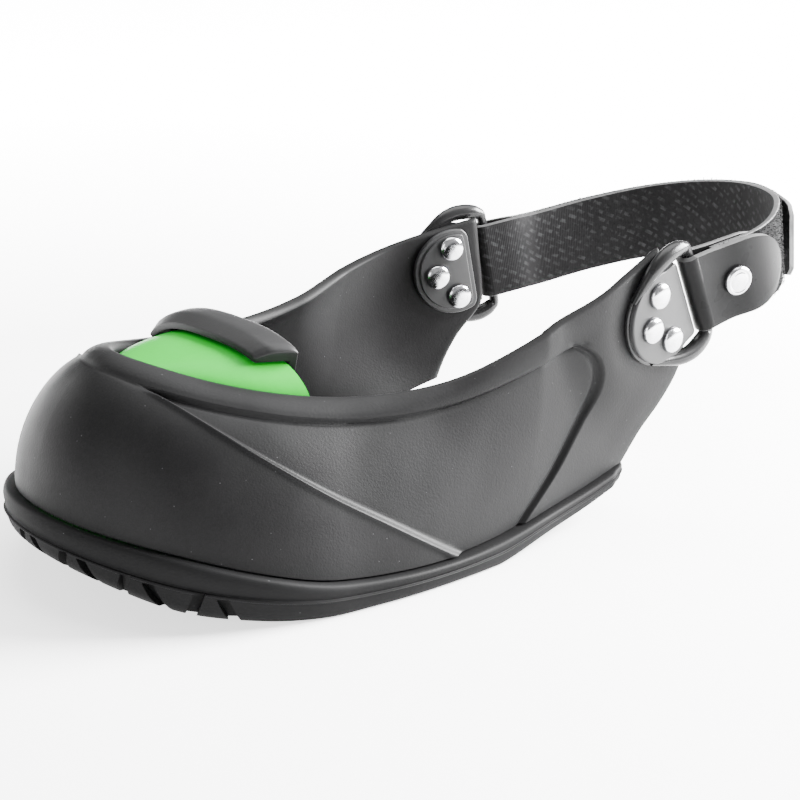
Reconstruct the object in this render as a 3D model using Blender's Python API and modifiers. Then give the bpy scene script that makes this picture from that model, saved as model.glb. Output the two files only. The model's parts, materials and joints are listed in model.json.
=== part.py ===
"""Safety toe overshoe: a rubber forefoot shell with a metal toe cap and a heel strap.

Frame: +X to the toe, +Y to the shoe's left, +Z up, with the origin on the floor under the tread.
Shapes are worked out in millimetres and scaled to metres when a mesh is made. Along the shoe, "behind"
is the distance behind the toe tip, so X is TOE_X minus behind.
"""
import math

import bmesh
import bpy
import numpy as np

MM = 0.001
GAP = 0.3
TOE_X = 84.0

# Sole: outline, welt line and tread line
TOE_LENGTH = 61.5
BALL_HALF_WIDTH = 57.0
TOE_ROUNDNESS = 2.0
SOLE_LENGTH = 164.0
# Columns: behind the toe tip, half width
SOLE_SIDE = ((61.5, 57.0), (81, 57.3), (100, 55.8), (120, 52.6), (140, 48.2), (164, 44.0))
# Columns: behind the toe tip, welt height, tread height
SOLE_LINES = (
    (0, 24.8, 11.2),
    (20, 19.6, 3.5),
    (38, 14.0, 0.8),
    (56, 9.1, 0.0),
    (80, 6.4, 0.0),
    (112, 6.5, 0.0),
    (128, 8.4, 2.9),
    (146, 10.8, 5.9),
    (164, 14.6, 10.4),
)
# Columns: share of the sole's thickness above the tread, inset at the toe, inset from the ball backwards
SOLE_RINGS = (
    (0.0, 5.2, 1.1),
    (0.12, 2.9, 0.5),
    (0.30, 1.1, 0.3),
    (0.47, 0.5, 0.3),
    (0.50, -0.1, -0.1),
    (0.54, -0.1, -0.1),
    (0.58, 0.6, 0.4),
    (0.80, 0.0, 0.0),
    (0.92, 0.4, 0.3),
    (0.98, 1.2, 0.9),
    (1.0, 2.4, 1.8),
)
# Distances behind the toe tip between which the toe's edge turns into the ball's
EDGE_CHANGE = (26.0, 64.0)
SOLE_COLUMNS = 27
REAR_CORNER = 6.0
OUTLINE_STEPS = 241

# Tread: zigzag grooves across the sole, inside its edge
GROOVE_FIRST = 24.75
GROOVE_PITCH = 11.5
GROOVE_COUNT = 11
GROOVE_WIDTH = 2.6
GROOVE_DEPTH = 2.0
GROOVE_FLOOR = -6.0
GROOVE_MARGIN = 5.0
TOE_GROOVES_END = 55.0
TOE_GROOVE_MARGIN = 11.0
ZIGZAG_STEP = 13.0
ZIGZAG_SWING = 4.0

# Slots round the toe's lower edge, leaning to either side in turn
SLOT_COUNT = 7
SLOT_FIRST = 4.6
SLOT_PITCH = 9.4
SLOT_HALF_WIDTH = 1.5
SLOT_LEAN = 1.9
SLOT_BELOW = 2.0
SLOT_RISE = 0.5
SLOT_INSETS = (9.0, 1.9)
SLOT_OUTSIDE = 3.0

# Upper: rim line, wall and steps
WALL = 3.0
WELT_GAP = 0.55
# Columns: share of the path from toe to wing end, inset of the wall's foot from the sole's outline
UPPER_INSET = ((0, 3.2), (0.3, 3.0), (0.55, 2.3), (1.0, 2.2))
RIM_FRONT = 28.5
RIM_SHOULDER = 130.0
RIM_HALF_WIDTH = 45.6
RIM_ROUNDNESS = 1.7
RIM_END = 172.5
RIM_SPREAD = 1.32
# Columns: behind the toe tip, half width
RIM_SIDE = ((130, 45.6), (147, 42.6), (160, 40.6), (172.5, 39.4))
# Columns: behind the toe tip, rim height
RIM_HEIGHT = (
    (28.5, 60.7),
    (47, 54.4),
    (66, 50.4),
    (85, 49.2),
    (104, 51.0),
    (123, 56.1),
    (142, 62.6),
    (172.5, 73.2),
)
# Columns: height share up the wall, rear edge of the left wing, rear edge of the right wing
REAR_EDGE = (
    (0, 164, 161.5),
    (0.25, 175.0, 171.2),
    (0.44, 182.0, 180.0),
    (0.56, 181.6, 180.2),
    (0.74, 175.8, 178.8),
    (0.89, 171.8, 177.4),
    (1.0, 168.8, 176.2),
)
REAR_EDGE_REACH = 8
# Columns: share of the path from toe to wing end, roundness of the wall's profile
WALL_ROUNDNESS = ((0, 0.97), (0.3, 0.88), (0.55, 0.62), (0.8, 0.3), (1.0, 0.1))
WING_START = 70.0
WING_SPAN = 110.0
WING_POWER = 1.5
WING_LEAN = {1: 9.0, -1: 3.5}
WING_LIFT = {1: 3.6, -1: -9.5}
WING_BULGE = {1: 0.0, -1: 7.0}
REAR_COLUMN = {1: 1, -1: 2}
WALL_COLUMNS = 30
WALL_ROWS = 9
COLLAR_ROWS = 4

# Side panel, sunk between the collar band, the toe guard and the wing's end
PANEL_DEPTH = 1.2
PANEL_FRONT = 0.14
PANEL_REAR = 0.85
PANEL_BEND = 0.15
PANEL_BELOW = -0.03
PANEL_COLUMNS = 20
PANEL_ROWS = 7
COLLAR_EDGE = 0.80
COLLAR_BEAD = 0.5
BEAD_END = 0.84
BEAD_FADE = 0.08
# Columns: share of the path, height share of the toe guard's upper edge
GUARD_EDGE = (
    (0, 0.81),
    (0.12, 0.795),
    (0.21, 0.72),
    (0.36, 0.51),
    (0.52, 0.25),
    (0.65, 0.0),
    (0.72, -0.14),
)
# Columns: height share, share of the path where the panel ends
PANEL_END = (
    (0, 0.787),
    (0.14, 0.835),
    (0.32, 0.865),
    (0.55, 0.881),
    (0.7, 0.869),
    (0.8, 0.845),
    (1.0, 0.82),
)

# Toe cap and its bumper
CAP_WALL = 1.6
CAP_LENGTH = {1: 67.0, -1: 59.0}
CAP_GAP = 0.5
CAP_FOOT = 0.012
CAP_COLUMNS = 10
CAP_SPREAD = 0.8
CAP_ROWS = 6
CROWN_ROWS = 6
# Columns: behind the toe tip, crown height
CROWN = ((28, 57.6), (45, 59.2), (66, 59.2))
# Powers of the crown's cross section: the first squares its shoulders, the second rounds it over
CROWN_POWERS = (2.8, 0.6)
BUMPER_HALF_WIDTH = 23.8
BUMPER_MIDDLE = -1.8
BUMPER_TOP = 3.8
BUMPER_BACK = 2.6
BUMPER_LIP = 4.0
BUMPER_LIP_THICK = 1.6
BUMPER_LIFT = 1.0
BUMPER_CLEARANCE = 0.5
# Columns: distance in front of the cap's edge, share of the height above the cap
BUMPER_FACE = ((9.0, 0.0), (9.0, 0.42), (4.8, 0.93), (3.6, 1.0), (-0.6, 1.0), (-2.6, 0.72))
BUMPER_END = 0.9
BUMPER_END_DROP = 0.2
BUMPER_COLUMNS = 20
BUMPER_FORWARD_PLACE = 0.75

# Loop plates, backing plates and rivets, in the plate's own frame
# Per side: behind the toe tip, to the left, height of the middle of the plate's rear edge
PLATE_PLACE = {1: (176.6, 46.3, 60.8), -1: (177.1, -47.0, 49.8)}
PLATE_TILT = {1: math.radians(25), -1: math.radians(9)}
PLATE_TOE_IN = {1: math.radians(8), -1: math.radians(15)}
PLATE_LEAN = math.radians(-2)
PLATE_FLAT_RADIUS = 19.0
PLATE_FLAT_REACH = {1: 36.0, -1: 58.0}
PLATE_CENTRE = -8.0
PLATE_RADIUS = 13.3
PLATE_CORNER = 12.9
PLATE_REAR = 1.2
FLANGE = 0.8
FLANGE_TOP = 1.3
PLATE_TOP = 2.7
PLATE_STEP = 0.8
BACKING_RADIUS = 13.0
BACKING_REAR = -2.2
BACKING_CORNER = 10.5
BACKING_THICK = 2.0
BAR_RADIUS = 1.5
LOOP_BAR = 5.6
LOOP_LEVEL = 2.6
LOOP_RINGS = 28
LOOP_SIDES = 8
LOOP_SHIFT = {1: 0.0, -1: -0.9}
LOOP_SHIFT_FADE = 14.0
# Columns: along the plate, across the plate, radius, level above the wing
LOOP_ROUTE = (
    (-16.5, 10.2, 0.9, 1.2),
    (-11.8, 13.0, 1.4, 1.7),
    (-7.0, 15.4, 2.0, 2.3),
    (-2.5, 16.4, 2.3, 2.6),
    (1.4, 16.1, 2.3, 2.6),
    (4.2, 15.0, 2.0, 2.6),
)
BAR_STRAIGHT = 12.9
# Columns: along the plate, across the plate
RIVET_PLACES = ((-8.3, 7.6), (-14.1, 0.0), (-8.3, -7.6))
RIVET_HEAD = 3.7
RIVET_DOME = 1.4
RIVET_RIM = 0.35
RIVET_SIDES = 12
# Columns: share of the head's radius, share of the dome's height
RIVET_CURVE = ((0.4, 1.0), (0.78, 0.72), (1.0, 0.0))
ROUND_ANGLE = 50
SHANK = 1.5
HOLE = 1.85
HOLE_SIDES = 10

# Heel strap and its tab
STRAP_HALF_WIDTH = 11.4
STRAP_THICK = 1.6
STRAP_START = 6.6
STRAP_TWIST = 3.0
LEFT_HOLD = 1.35
STRAP_SHIFT = {1: -0.4, -1: -0.9}
TAB_HALF_WIDTH = 11.7
TAB_FLARE = 0.6
TAB_THICK = 1.6
TAB_LENGTH = 29.4
TAB_ROUND = 13.5
TAB_EASE = 9.0
TAB_STATIONS = (8, 7)
TAB_FINE = 12
TAB_TIP = 0.03
TAB_RIVET_AT = 11.8
TAB_RIVET_HEAD = 4.3
LAYER_GAP = 0.45
LAYER_EASE = 26.0
STOP_RUN = 9.0
FLAP_PLACE = 0.335
FLAP_FLARE = 4.2
FLAP_DROOP = 4.6
FLAP_LENGTH = 22.0
FLAP_CORNER = 3.0
# Columns: behind the toe tip, to the left, height of the strap's middle
STRAP_ROUTE = (
    (191.5, 49.0, 64.4),
    (199.0, 49.8, 65.6),
    (206.0, 49.2, 66.8),
    (213.0, 46.2, 68.0),
    (220.0, 40.4, 68.8),
    (227.0, 31.8, 68.6),
    (232.8, 20.4, 67.5),
    (236.3, 7.5, 66.0),
    (237.0, -6.0, 63.8),
    (234.2, -18.6, 61.2),
    (227.6, -29.6, 58.2),
    (215.0, -39.2, 54.4),
    (201.0, -44.0, 51.4),
)
ROUTE_STEP = 4.4

# Colours and finish: base colour, roughness, metallic
FINISH = {
    "black_rubber": ((0.022, 0.022, 0.023), 0.52, 0.0),
    "sole_rubber": ((0.018, 0.018, 0.019), 0.6, 0.0),
    "green_paint": ((0.09, 0.62, 0.12), 0.35, 0.0),
    "bumper_rubber": ((0.012, 0.012, 0.013), 0.55, 0.0),
    "moulded_plastic": ((0.02, 0.02, 0.021), 0.4, 0.0),
    "bright_steel": ((0.78, 0.78, 0.8), 0.18, 1.0),
    "black_leather": ((0.012, 0.012, 0.013), 0.35, 0.0),
    "strap_fabric": ((0.02, 0.02, 0.021), 0.85, 0.0),
}


# Tables and small curves
def curve_at(table, place, column=1):
    """Smooth value of a table's column at a place along its first column."""
    rows = np.array(table, float)
    xs = rows[:, 0]
    ys = rows[:, column]
    slopes = np.gradient(ys, xs)
    place = np.clip(place, xs[0], xs[-1])
    k = np.clip(np.searchsorted(xs, place) - 1, 0, len(xs) - 2)
    span = xs[k + 1] - xs[k]
    f = (place - xs[k]) / span
    rise = ys[k] * (1 + 2 * f) * (1 - f) ** 2 + ys[k + 1] * f * f * (3 - 2 * f)
    return rise + span * (slopes[k] * f * (1 - f) ** 2 + slopes[k + 1] * f * f * (f - 1))


def soft_step(value):
    """0 below -0.5, 1 above 0.5, smooth between."""
    f = np.clip(value + 0.5, 0, 1)
    return f * f * (3 - 2 * f)


def resample(points, count):
    """Points at equal steps along a polyline."""
    points = np.asarray(points, float)
    steps = np.linalg.norm(np.diff(points, axis=0), axis=1)
    run = np.concatenate([[0], np.cumsum(steps)])
    places = np.linspace(0, run[-1], count)
    return np.stack([np.interp(places, run, points[:, i]) for i in range(points.shape[1])], -1)


def smooth_path(points, per_span=12):
    """Dense points on a smooth curve through hand-chosen points."""
    points = np.asarray(points, float)
    places = np.arange(len(points), dtype=float)
    dense = np.linspace(0, len(points) - 1, per_span * (len(points) - 1) + 1)
    columns = []
    for i in range(points.shape[1]):
        table = np.stack([places, points[:, i]], -1)
        columns.append(curve_at(table, dense))
    return np.stack(columns, -1)


def unit(vectors):
    return vectors / np.linalg.norm(vectors, axis=-1, keepdims=True)


def half_outline(front, shoulder, half_width, roundness, side_table, end):
    """Half of a toe-shaped outline, from its front to its end, as behind and half width."""
    angle = np.linspace(0, math.pi / 2, 90)
    behind = shoulder - (shoulder - front) * np.cos(angle) ** (2 / roundness)
    width = half_width * np.sin(angle) ** (2 / roundness)
    rest = np.linspace(shoulder, end, 60)[1:]
    behind = np.concatenate([behind, rest])
    width = np.concatenate([width, curve_at(side_table, rest)])
    return np.stack([behind, width], -1)


SOLE_HALF = resample(
    half_outline(0, TOE_LENGTH, BALL_HALF_WIDTH, TOE_ROUNDNESS, SOLE_SIDE, SOLE_LENGTH), OUTLINE_STEPS)
RIM_HALF = resample(
    half_outline(RIM_FRONT, RIM_SHOULDER, RIM_HALF_WIDTH, RIM_ROUNDNESS, RIM_SIDE, RIM_END), OUTLINE_STEPS)


def along(half, share):
    """Point at a share of a half outline."""
    places = np.linspace(0, 1, len(half))
    return np.interp(share, places, half[:, 0]), np.interp(share, places, half[:, 1])


def welt_z(behind):
    return curve_at(SOLE_LINES, behind, 1)


def tread_z(behind):
    return np.maximum(curve_at(SOLE_LINES, behind, 2), 0.0)


# The upper's outer surface
def wall_base(share):
    """Foot of the wall, just inside the sole's lip."""
    step = 1e-3
    b0, w0 = along(SOLE_HALF, np.clip(share - step, 0, 1))
    b1, w1 = along(SOLE_HALF, np.clip(share + step, 0, 1))
    run = np.hypot(b1 - b0, w1 - w0)
    behind, width = along(SOLE_HALF, share)
    inset = curve_at(UPPER_INSET, share)
    return behind + inset * (w1 - w0) / run, np.maximum(width - inset * (b1 - b0) / run, 0)


def plain_wall(side, share, height):
    """Point of the wall without steps: share runs from toe to wing end, height from welt to rim."""
    share, height = np.broadcast_arrays(np.asarray(share, float), np.asarray(height, float))
    base_b, base_w = wall_base(share)
    base_z = welt_z(base_b) + WELT_GAP
    rim_b, rim_w = along(RIM_HALF, share ** RIM_SPREAD)
    rim_z = curve_at(RIM_HEIGHT, rim_b)
    round_share = curve_at(WALL_ROUNDNESS, share)
    inward = height + round_share * (1 - np.cos(height * math.pi / 2) - height)
    upward = height + round_share * (np.sin(height * math.pi / 2) - height)
    behind = base_b + (rim_b - base_b) * inward
    width = base_w + (rim_w - base_w) * inward
    z = base_z + (rim_z - base_z) * upward
    straight_end = SOLE_LENGTH + (RIM_END - SOLE_LENGTH) * height
    rear_edge = curve_at(REAR_EDGE, height, REAR_COLUMN[side])
    behind = behind + share ** REAR_EDGE_REACH * (rear_edge - straight_end)
    wing = np.clip((behind - WING_START) / WING_SPAN, 0, None) ** WING_POWER
    width = width + wing * (WING_LEAN[side] * height + WING_BULGE[side] * np.sin(height * math.pi))
    z = z + wing * WING_LIFT[side] * height
    return np.stack([TOE_X - behind, side * width, z], -1)


def wall_normal(surface, side, share, height):
    """Outward normal of a wall surface by differences."""
    step = 2e-3
    share = np.clip(share, 2 * step, 1 - step)
    height = np.clip(height, step, 1 - step)
    run = surface(side, share + step, height) - surface(side, share - step, height)
    rise = surface(side, share, height + step) - surface(side, share, height - step)
    return unit(np.cross(run, rise) * side)


def plate_frame(side):
    """Frame of a loop plate: middle of its rear edge, axes along it, across it and outwards."""
    behind, left, height = PLATE_PLACE[side]
    middle = np.array([TOE_X - behind, left, height])
    turn = PLATE_TOE_IN[side]
    tilt = PLATE_TILT[side]
    flat = math.cos(PLATE_LEAN)
    out = np.array([-math.sin(turn) * flat, side * math.cos(turn) * flat, math.sin(PLATE_LEAN)])
    level = unit(np.cross(np.array([0.0, 0.0, 1.0]), out)) * side
    up = np.cross(level, out) * -side
    rearward = unit(level * math.cos(tilt) + up * math.sin(tilt))
    across = unit(up * math.cos(tilt) - level * math.sin(tilt))
    return middle, rearward, across, out


FRAMES = {side: plate_frame(side) for side in (1, -1)}


def on_plate(side, rear, across, out):
    """World point from plate coordinates."""
    middle, p_axis, q_axis, n_axis = FRAMES[side]
    rear, across, out = (np.asarray(v, float)[..., None] for v in (rear, across, out))
    return middle + rear * p_axis + across * q_axis + out * n_axis


def flat_wall(side, share, height):
    """The wall, made flat where a loop plate lies on it."""
    points = plain_wall(side, share, height)
    middle, p_axis, q_axis, n_axis = FRAMES[side]
    centre = middle + PLATE_CENTRE * p_axis
    far = np.linalg.norm(points - centre, axis=-1)
    fade = (far - PLATE_FLAT_RADIUS) / (PLATE_FLAT_REACH[side] - PLATE_FLAT_RADIUS)
    weight = 1 - soft_step(fade - 0.5)
    lift = (points - middle) @ n_axis
    return points - (weight * lift)[..., None] * n_axis


def collar_bead(share, height):
    """Gentle outward swell of the collar band, which fades out on the wing."""
    swell = np.sin(np.clip((height - COLLAR_EDGE) / (1 - COLLAR_EDGE), 0, 1) * math.pi)
    return COLLAR_BEAD * swell * (1 - soft_step((share - BEAD_END) / BEAD_FADE))


def upper_wall(side, share, height):
    """Outer face of the upper, with its collar band."""
    share, height = np.broadcast_arrays(np.asarray(share, float), np.asarray(height, float))
    points = flat_wall(side, share, height)
    normals = wall_normal(flat_wall, side, share, height)
    return points + normals * collar_bead(share, height)[..., None]


# Mesh helpers
def new_object(name, vertices, faces, finish, smooth_angle=40):
    """Mesh object from points in millimetres."""
    mesh = bpy.data.meshes.new(name)
    mesh.from_pydata([tuple(v) for v in np.asarray(vertices) * MM], [], faces)
    return finish_mesh(name, mesh, finish, smooth_angle)


def finish_mesh(name, mesh, finish, smooth_angle=40):
    """Weld, face outwards, shade and link a mesh."""
    work = bmesh.new()
    work.from_mesh(mesh)
    bmesh.ops.remove_doubles(work, verts=work.verts, dist=1e-6)
    bmesh.ops.dissolve_degenerate(work, edges=work.edges, dist=1e-7)
    bmesh.ops.recalc_face_normals(work, faces=work.faces)
    work.to_mesh(mesh)
    work.free()
    mesh.shade_smooth()
    mesh.set_sharp_from_angle(angle=math.radians(smooth_angle))
    item = bpy.data.objects.new(name, mesh)
    if finish:
        mesh.materials.append(material(finish))
        PARTS.objects.link(item)
    else:
        CUTTERS.objects.link(item)
        item.hide_render = True
        item.display_type = 'WIRE'
    return item


def material(finish):
    """Principled material of a named finish."""
    if finish in bpy.data.materials:
        return bpy.data.materials[finish]
    colour, roughness, metallic = FINISH[finish]
    made = bpy.data.materials.new(finish)
    made.use_nodes = True
    shader = made.node_tree.nodes["Principled BSDF"]
    shader.inputs["Base Color"].default_value = (*colour, 1)
    shader.inputs["Roughness"].default_value = roughness
    shader.inputs["Metallic"].default_value = metallic
    made.diffuse_color = (*colour, 1)
    return made


def grid_faces(rows, columns, closed=False):
    """Quads of a rows by columns grid of points, with the columns joined end to end if closed."""
    faces = []
    for r in range(rows - 1):
        for c in range(columns if closed else columns - 1):
            d = (c + 1) % columns
            faces.append((r * columns + c, r * columns + d, (r + 1) * columns + d, (r + 1) * columns + c))
    return faces


def solid_loft(name, rings, finish, smooth_angle=40):
    """Closed solid through rings with the same number of points, with flat end faces."""
    rings = np.asarray(rings)
    count, columns = rings.shape[:2]
    faces = grid_faces(count, columns, closed=True)
    faces.append(tuple(range(columns)))
    faces.append(tuple(range((count - 1) * columns, count * columns)))
    return new_object(name, rings.reshape(-1, 3), faces, finish, smooth_angle)


def boolean(item, tool, operation):
    """Boolean modifier with the exact solver."""
    modifier = item.modifiers.new(tool.name, 'BOOLEAN')
    modifier.operation = operation
    modifier.object = tool
    modifier.solver = 'EXACT'


def cylinder_cutter(name, ends, radius, sides=HOLE_SIDES):
    """Round cutter between two points."""
    start, stop = ends
    axis = unit(stop - start)
    helper = np.array([0.0, 0.0, 1.0]) if abs(axis[2]) < 0.9 else np.array([1.0, 0.0, 0.0])
    first = unit(np.cross(axis, helper))
    second = np.cross(axis, first)
    angle = np.linspace(0, 2 * math.pi, sides, endpoint=False)[:, None]
    circle = radius * (np.cos(angle) * first + np.sin(angle) * second)
    return solid_loft(name, [start + circle, stop + circle], None)


# Sole
def sole_half():
    """Half outline of the sole with its rear corner rounded."""
    side = SOLE_HALF[SOLE_HALF[:, 0] <= SOLE_LENGTH - REAR_CORNER]
    corner_width = SOLE_HALF[-1, 1]
    angle = np.linspace(0, math.pi / 2, 12)
    corner = np.stack([SOLE_LENGTH - REAR_CORNER * (1 - np.sin(angle)),
                       corner_width - REAR_CORNER * (1 - np.cos(angle))], -1)
    return resample(np.concatenate([side, corner[1:]]), SOLE_COLUMNS + 1)


def sole_ring(thick_share, toe_inset, ball_inset):
    """Closed ring of the sole's side: toe middle, left side, then right side back to the toe."""
    half = sole_half()
    tangent = np.gradient(half, axis=0)
    tangent[0] = (0, 1)
    tangent[-1] = (0, -1)
    tangent = unit(tangent)
    first, last = EDGE_CHANGE
    inset = toe_inset + (ball_inset - toe_inset) * soft_step((half[:, 0] - first) / (last - first) - 0.5)
    behind = half[:, 0] + inset * tangent[:, 1]
    width = np.maximum(half[:, 1] - inset * tangent[:, 0], 0)
    low = tread_z(half[:, 0])
    high = welt_z(behind)
    z = low + (high - low) * thick_share
    left = np.stack([TOE_X - behind, width, z], -1)
    left[0, 1] = 0
    right = left[:0:-1] * (1, -1, 1)
    return np.concatenate([left, right])


def zigzag_cutter(number):
    """Cutter of one zigzag groove, its top following the tread."""
    middle = GROOVE_FIRST + GROOVE_PITCH * number
    reach = np.interp(middle, SOLE_HALF[:, 0], SOLE_HALF[:, 1])
    margin = TOE_GROOVE_MARGIN if middle < TOE_GROOVES_END else GROOVE_MARGIN
    steps = 2 * int((reach - margin) / ZIGZAG_STEP)
    across = (np.arange(steps + 1) - steps / 2) * ZIGZAG_STEP
    swing = ZIGZAG_SWING * (1 - 2 * (np.arange(steps + 1) % 2))
    half = GROOVE_WIDTH / 2
    rings = []
    for y, shift in zip(across, swing):
        behind = middle + shift
        top = tread_z(behind) + GROOVE_DEPTH
        front = TOE_X - behind + half
        back = TOE_X - behind - half
        rings.append([(front, y, top), (back, y, top), (back, y, GROOVE_FLOOR), (front, y, GROOVE_FLOOR)])
    return solid_loft(f"groove_{number}", rings, None)


def slot_cutter(side, number):
    """Cutter of one leaning slot through the toe's lower edge."""
    length = np.linalg.norm(np.diff(SOLE_HALF, axis=0), axis=1).sum()
    share = (SLOT_FIRST + SLOT_PITCH * number) / length
    step = 1e-3
    point = np.array(along(SOLE_HALF, share))
    run = unit(np.array(along(SOLE_HALF, share + step)) - np.array(along(SOLE_HALF, share - step)))
    inward = np.array([run[1], -run[0]])
    tread = tread_z(point[0])
    top = tread + SLOT_RISE * (welt_z(point[0]) - tread)
    lean = SLOT_LEAN * (1 if number % 2 else -1)
    rings = []
    for z, shift, inset in ((tread - SLOT_BELOW, -lean, SLOT_INSETS[0]), (top, lean, SLOT_INSETS[1])):
        ring = []
        for across, depth in ((-1, inset), (1, inset), (1, -SLOT_OUTSIDE), (-1, -SLOT_OUTSIDE)):
            behind, width = point + run * (shift + across * SLOT_HALF_WIDTH) + inward * depth
            ring.append((TOE_X - behind, side * width, z))
        rings.append(ring)
    return solid_loft(f"slot_{SIDE_NAME[side]}_{number}", rings, None)


def make_outsole():
    rings = np.array([sole_ring(*row) for row in SOLE_RINGS])
    count, columns = rings.shape[:2]
    faces = grid_faces(count, columns, closed=True)
    for first in (0, (count - 1) * columns):
        faces.append((first, first + 1, first + columns - 1))
        for k in range(1, SOLE_COLUMNS):
            faces.append((first + k, first + k + 1, first + columns - k - 1, first + columns - k))
    sole = new_object("outsole", rings.reshape(-1, 3), faces, "sole_rubber")
    for number in range(GROOVE_COUNT):
        boolean(sole, zigzag_cutter(number), 'DIFFERENCE')
    for side in (1, -1):
        for number in range(SLOT_COUNT):
            boolean(sole, slot_cutter(side, number), 'DIFFERENCE')


# Upper
def panel_cutter(side):
    """Cutter of the sunk side panel: its floor below the wall's face, thickened outwards."""
    floor = []
    for column in np.linspace(PANEL_FRONT, PANEL_REAR, PANEL_COLUMNS):
        low = max(curve_at(GUARD_EDGE, column), PANEL_BELOW)
        heights = np.linspace(low, COLLAR_EDGE, PANEL_ROWS)
        bend = np.clip((column - PANEL_REAR) / PANEL_BEND + 1, 0, 1)
        shares = column + bend * (curve_at(PANEL_END, heights) - PANEL_REAR)
        normals = wall_normal(flat_wall, side, shares, heights)
        floor.append(flat_wall(side, shares, heights) - normals * PANEL_DEPTH)
    floor = np.array(floor)
    faces = grid_faces(PANEL_COLUMNS, PANEL_ROWS)
    cutter = new_object(f"panel_{SIDE_NAME[side]}", floor.reshape(-1, 3), faces, None)
    face_outwards(cutter)
    thicken = cutter.modifiers.new("outwards", 'SOLIDIFY')
    thicken.thickness = 3 * PANEL_DEPTH * MM
    thicken.offset = 1
    return cutter


def make_upper():
    half = [(1, share) for share in np.linspace(0, 1, WALL_COLUMNS + 1)]
    collar = np.linspace(COLLAR_EDGE, 1, COLLAR_ROWS)[1:]
    heights = np.concatenate([np.linspace(0, COLLAR_EDGE, WALL_ROWS), collar])
    columns = [(-1, share) for side, share in half[:0:-1]] + half
    grid = np.array([upper_wall(side, share, heights) for side, share in columns])
    faces = grid_faces(grid.shape[0], grid.shape[1])
    upper = new_object("upper", grid.reshape(-1, 3), faces, "black_rubber")
    face_outwards(upper)
    shell = upper.modifiers.new("wall", 'SOLIDIFY')
    shell.thickness = WALL * MM
    shell.offset = -1
    shell.use_even_offset = True
    for side in (1, -1):
        boolean(upper, panel_cutter(side), 'DIFFERENCE')
        for cutter in rivet_cutters(side, "upper", -WALL - 2, 2):
            boolean(upper, cutter, 'DIFFERENCE')


def face_outwards(item):
    """Turn an open surface so that its faces point away from the foot."""
    mesh = item.data
    away = 0.0
    for face in mesh.polygons:
        centre = face.center
        away += face.normal.x * (centre.x - (TOE_X - RIM_SHOULDER) * MM) + face.normal.y * centre.y
    if away < 0:
        mesh.flip_normals()


# Toe cap and bumper
def cap_point(side, share, height):
    """Outer face of the toe cap under the upper."""
    normals = wall_normal(plain_wall, side, share, height)
    return plain_wall(side, share, height) - normals * (WALL + CAP_GAP)


def cap_share(side, height, limit):
    """Share of the path at which the wall reaches a distance behind the toe tip."""
    shares = np.linspace(0, 1, 200)
    behind = TOE_X - plain_wall(side, shares, height)[:, 0]
    return np.interp(limit, behind, shares)


def cap_strip(place):
    """One strip of the cap from the left foot over the crown to the right foot."""
    sides = {}
    for side in (1, -1):
        heights = np.linspace(CAP_FOOT, 1, CAP_ROWS)
        sides[side] = [cap_point(side, place * cap_share(side, h, CAP_LENGTH[side]), h) for h in heights]
    left = np.array(sides[1]).reshape(-1, 3)
    right = np.array(sides[-1]).reshape(-1, 3)
    if place == 0:
        left[:, 1] = 0
        right[:, 1] = 0
    middle = (left[-1] + right[-1]) / 2
    rise = curve_at(CROWN, TOE_X - middle[0]) - middle[2]
    angle = np.linspace(0, math.pi, 2 * CROWN_ROWS + 1)[1:-1, None]
    over = middle + (left[-1] - middle) * np.cos(angle)
    square, rounding = CROWN_POWERS
    over[:, 2] += rise * (1 - np.abs(np.cos(angle[:, 0])) ** square) ** rounding
    return np.concatenate([left, over, right[::-1]])


def make_toe_cap():
    strips = np.array([cap_strip(place) for place in np.linspace(0, 1, CAP_COLUMNS + 1) ** CAP_SPREAD])
    faces = grid_faces(strips.shape[0], strips.shape[1])
    cap = new_object("toe_cap", strips.reshape(-1, 3), faces, "green_paint")
    face_outwards(cap)
    shell = cap.modifiers.new("wall", 'SOLIDIFY')
    shell.thickness = CAP_WALL * MM
    shell.offset = -1
    shell.use_even_offset = True


def crown_line(place):
    """Crown of one strip of the cap, from left to right."""
    strip = cap_strip(place)
    return resample(strip[CAP_ROWS - 1:len(strip) - CAP_ROWS + 1], OUTLINE_STEPS)


def make_cap_bumper():
    """Clip-on strip over the cap's rear edge."""
    edge = crown_line(1.0)
    covered = np.abs(edge[:, 1] - BUMPER_MIDDLE) <= BUMPER_HALF_WIDTH
    front = resample(crown_line(BUMPER_FORWARD_PLACE)[covered], BUMPER_COLUMNS)
    edge = resample(edge[covered], BUMPER_COLUMNS)
    run = unit(np.gradient(edge, axis=0))
    under = CAP_WALL + 2 * BUMPER_CLEARANCE
    rings = []
    for point, ahead, direction in zip(edge, front, run):
        forward = unit(ahead - point)
        outward = unit(np.cross(direction, forward))
        outward = outward * np.sign(outward[2])
        out_share = abs(point[1] - BUMPER_MIDDLE) / BUMPER_HALF_WIDTH
        end_share = np.clip((out_share - BUMPER_END) / (1 - BUMPER_END), 0, 1)
        tall = BUMPER_TOP * (1 - BUMPER_END_DROP * end_share ** 2)
        profile = [(ahead_of, BUMPER_LIFT + tall * share) for ahead_of, share in BUMPER_FACE]
        profile = profile + [
            (-BUMPER_BACK, -under - BUMPER_LIP_THICK),
            (BUMPER_LIP, -under - BUMPER_LIP_THICK),
            (BUMPER_LIP, -under),
            (-BUMPER_CLEARANCE, -under),
            (-BUMPER_CLEARANCE, BUMPER_LIFT),
        ]
        rings.append([point + forward * along_cap + outward * up for along_cap, up in profile])
    solid_loft("cap_bumper", rings, "bumper_rubber")


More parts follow.
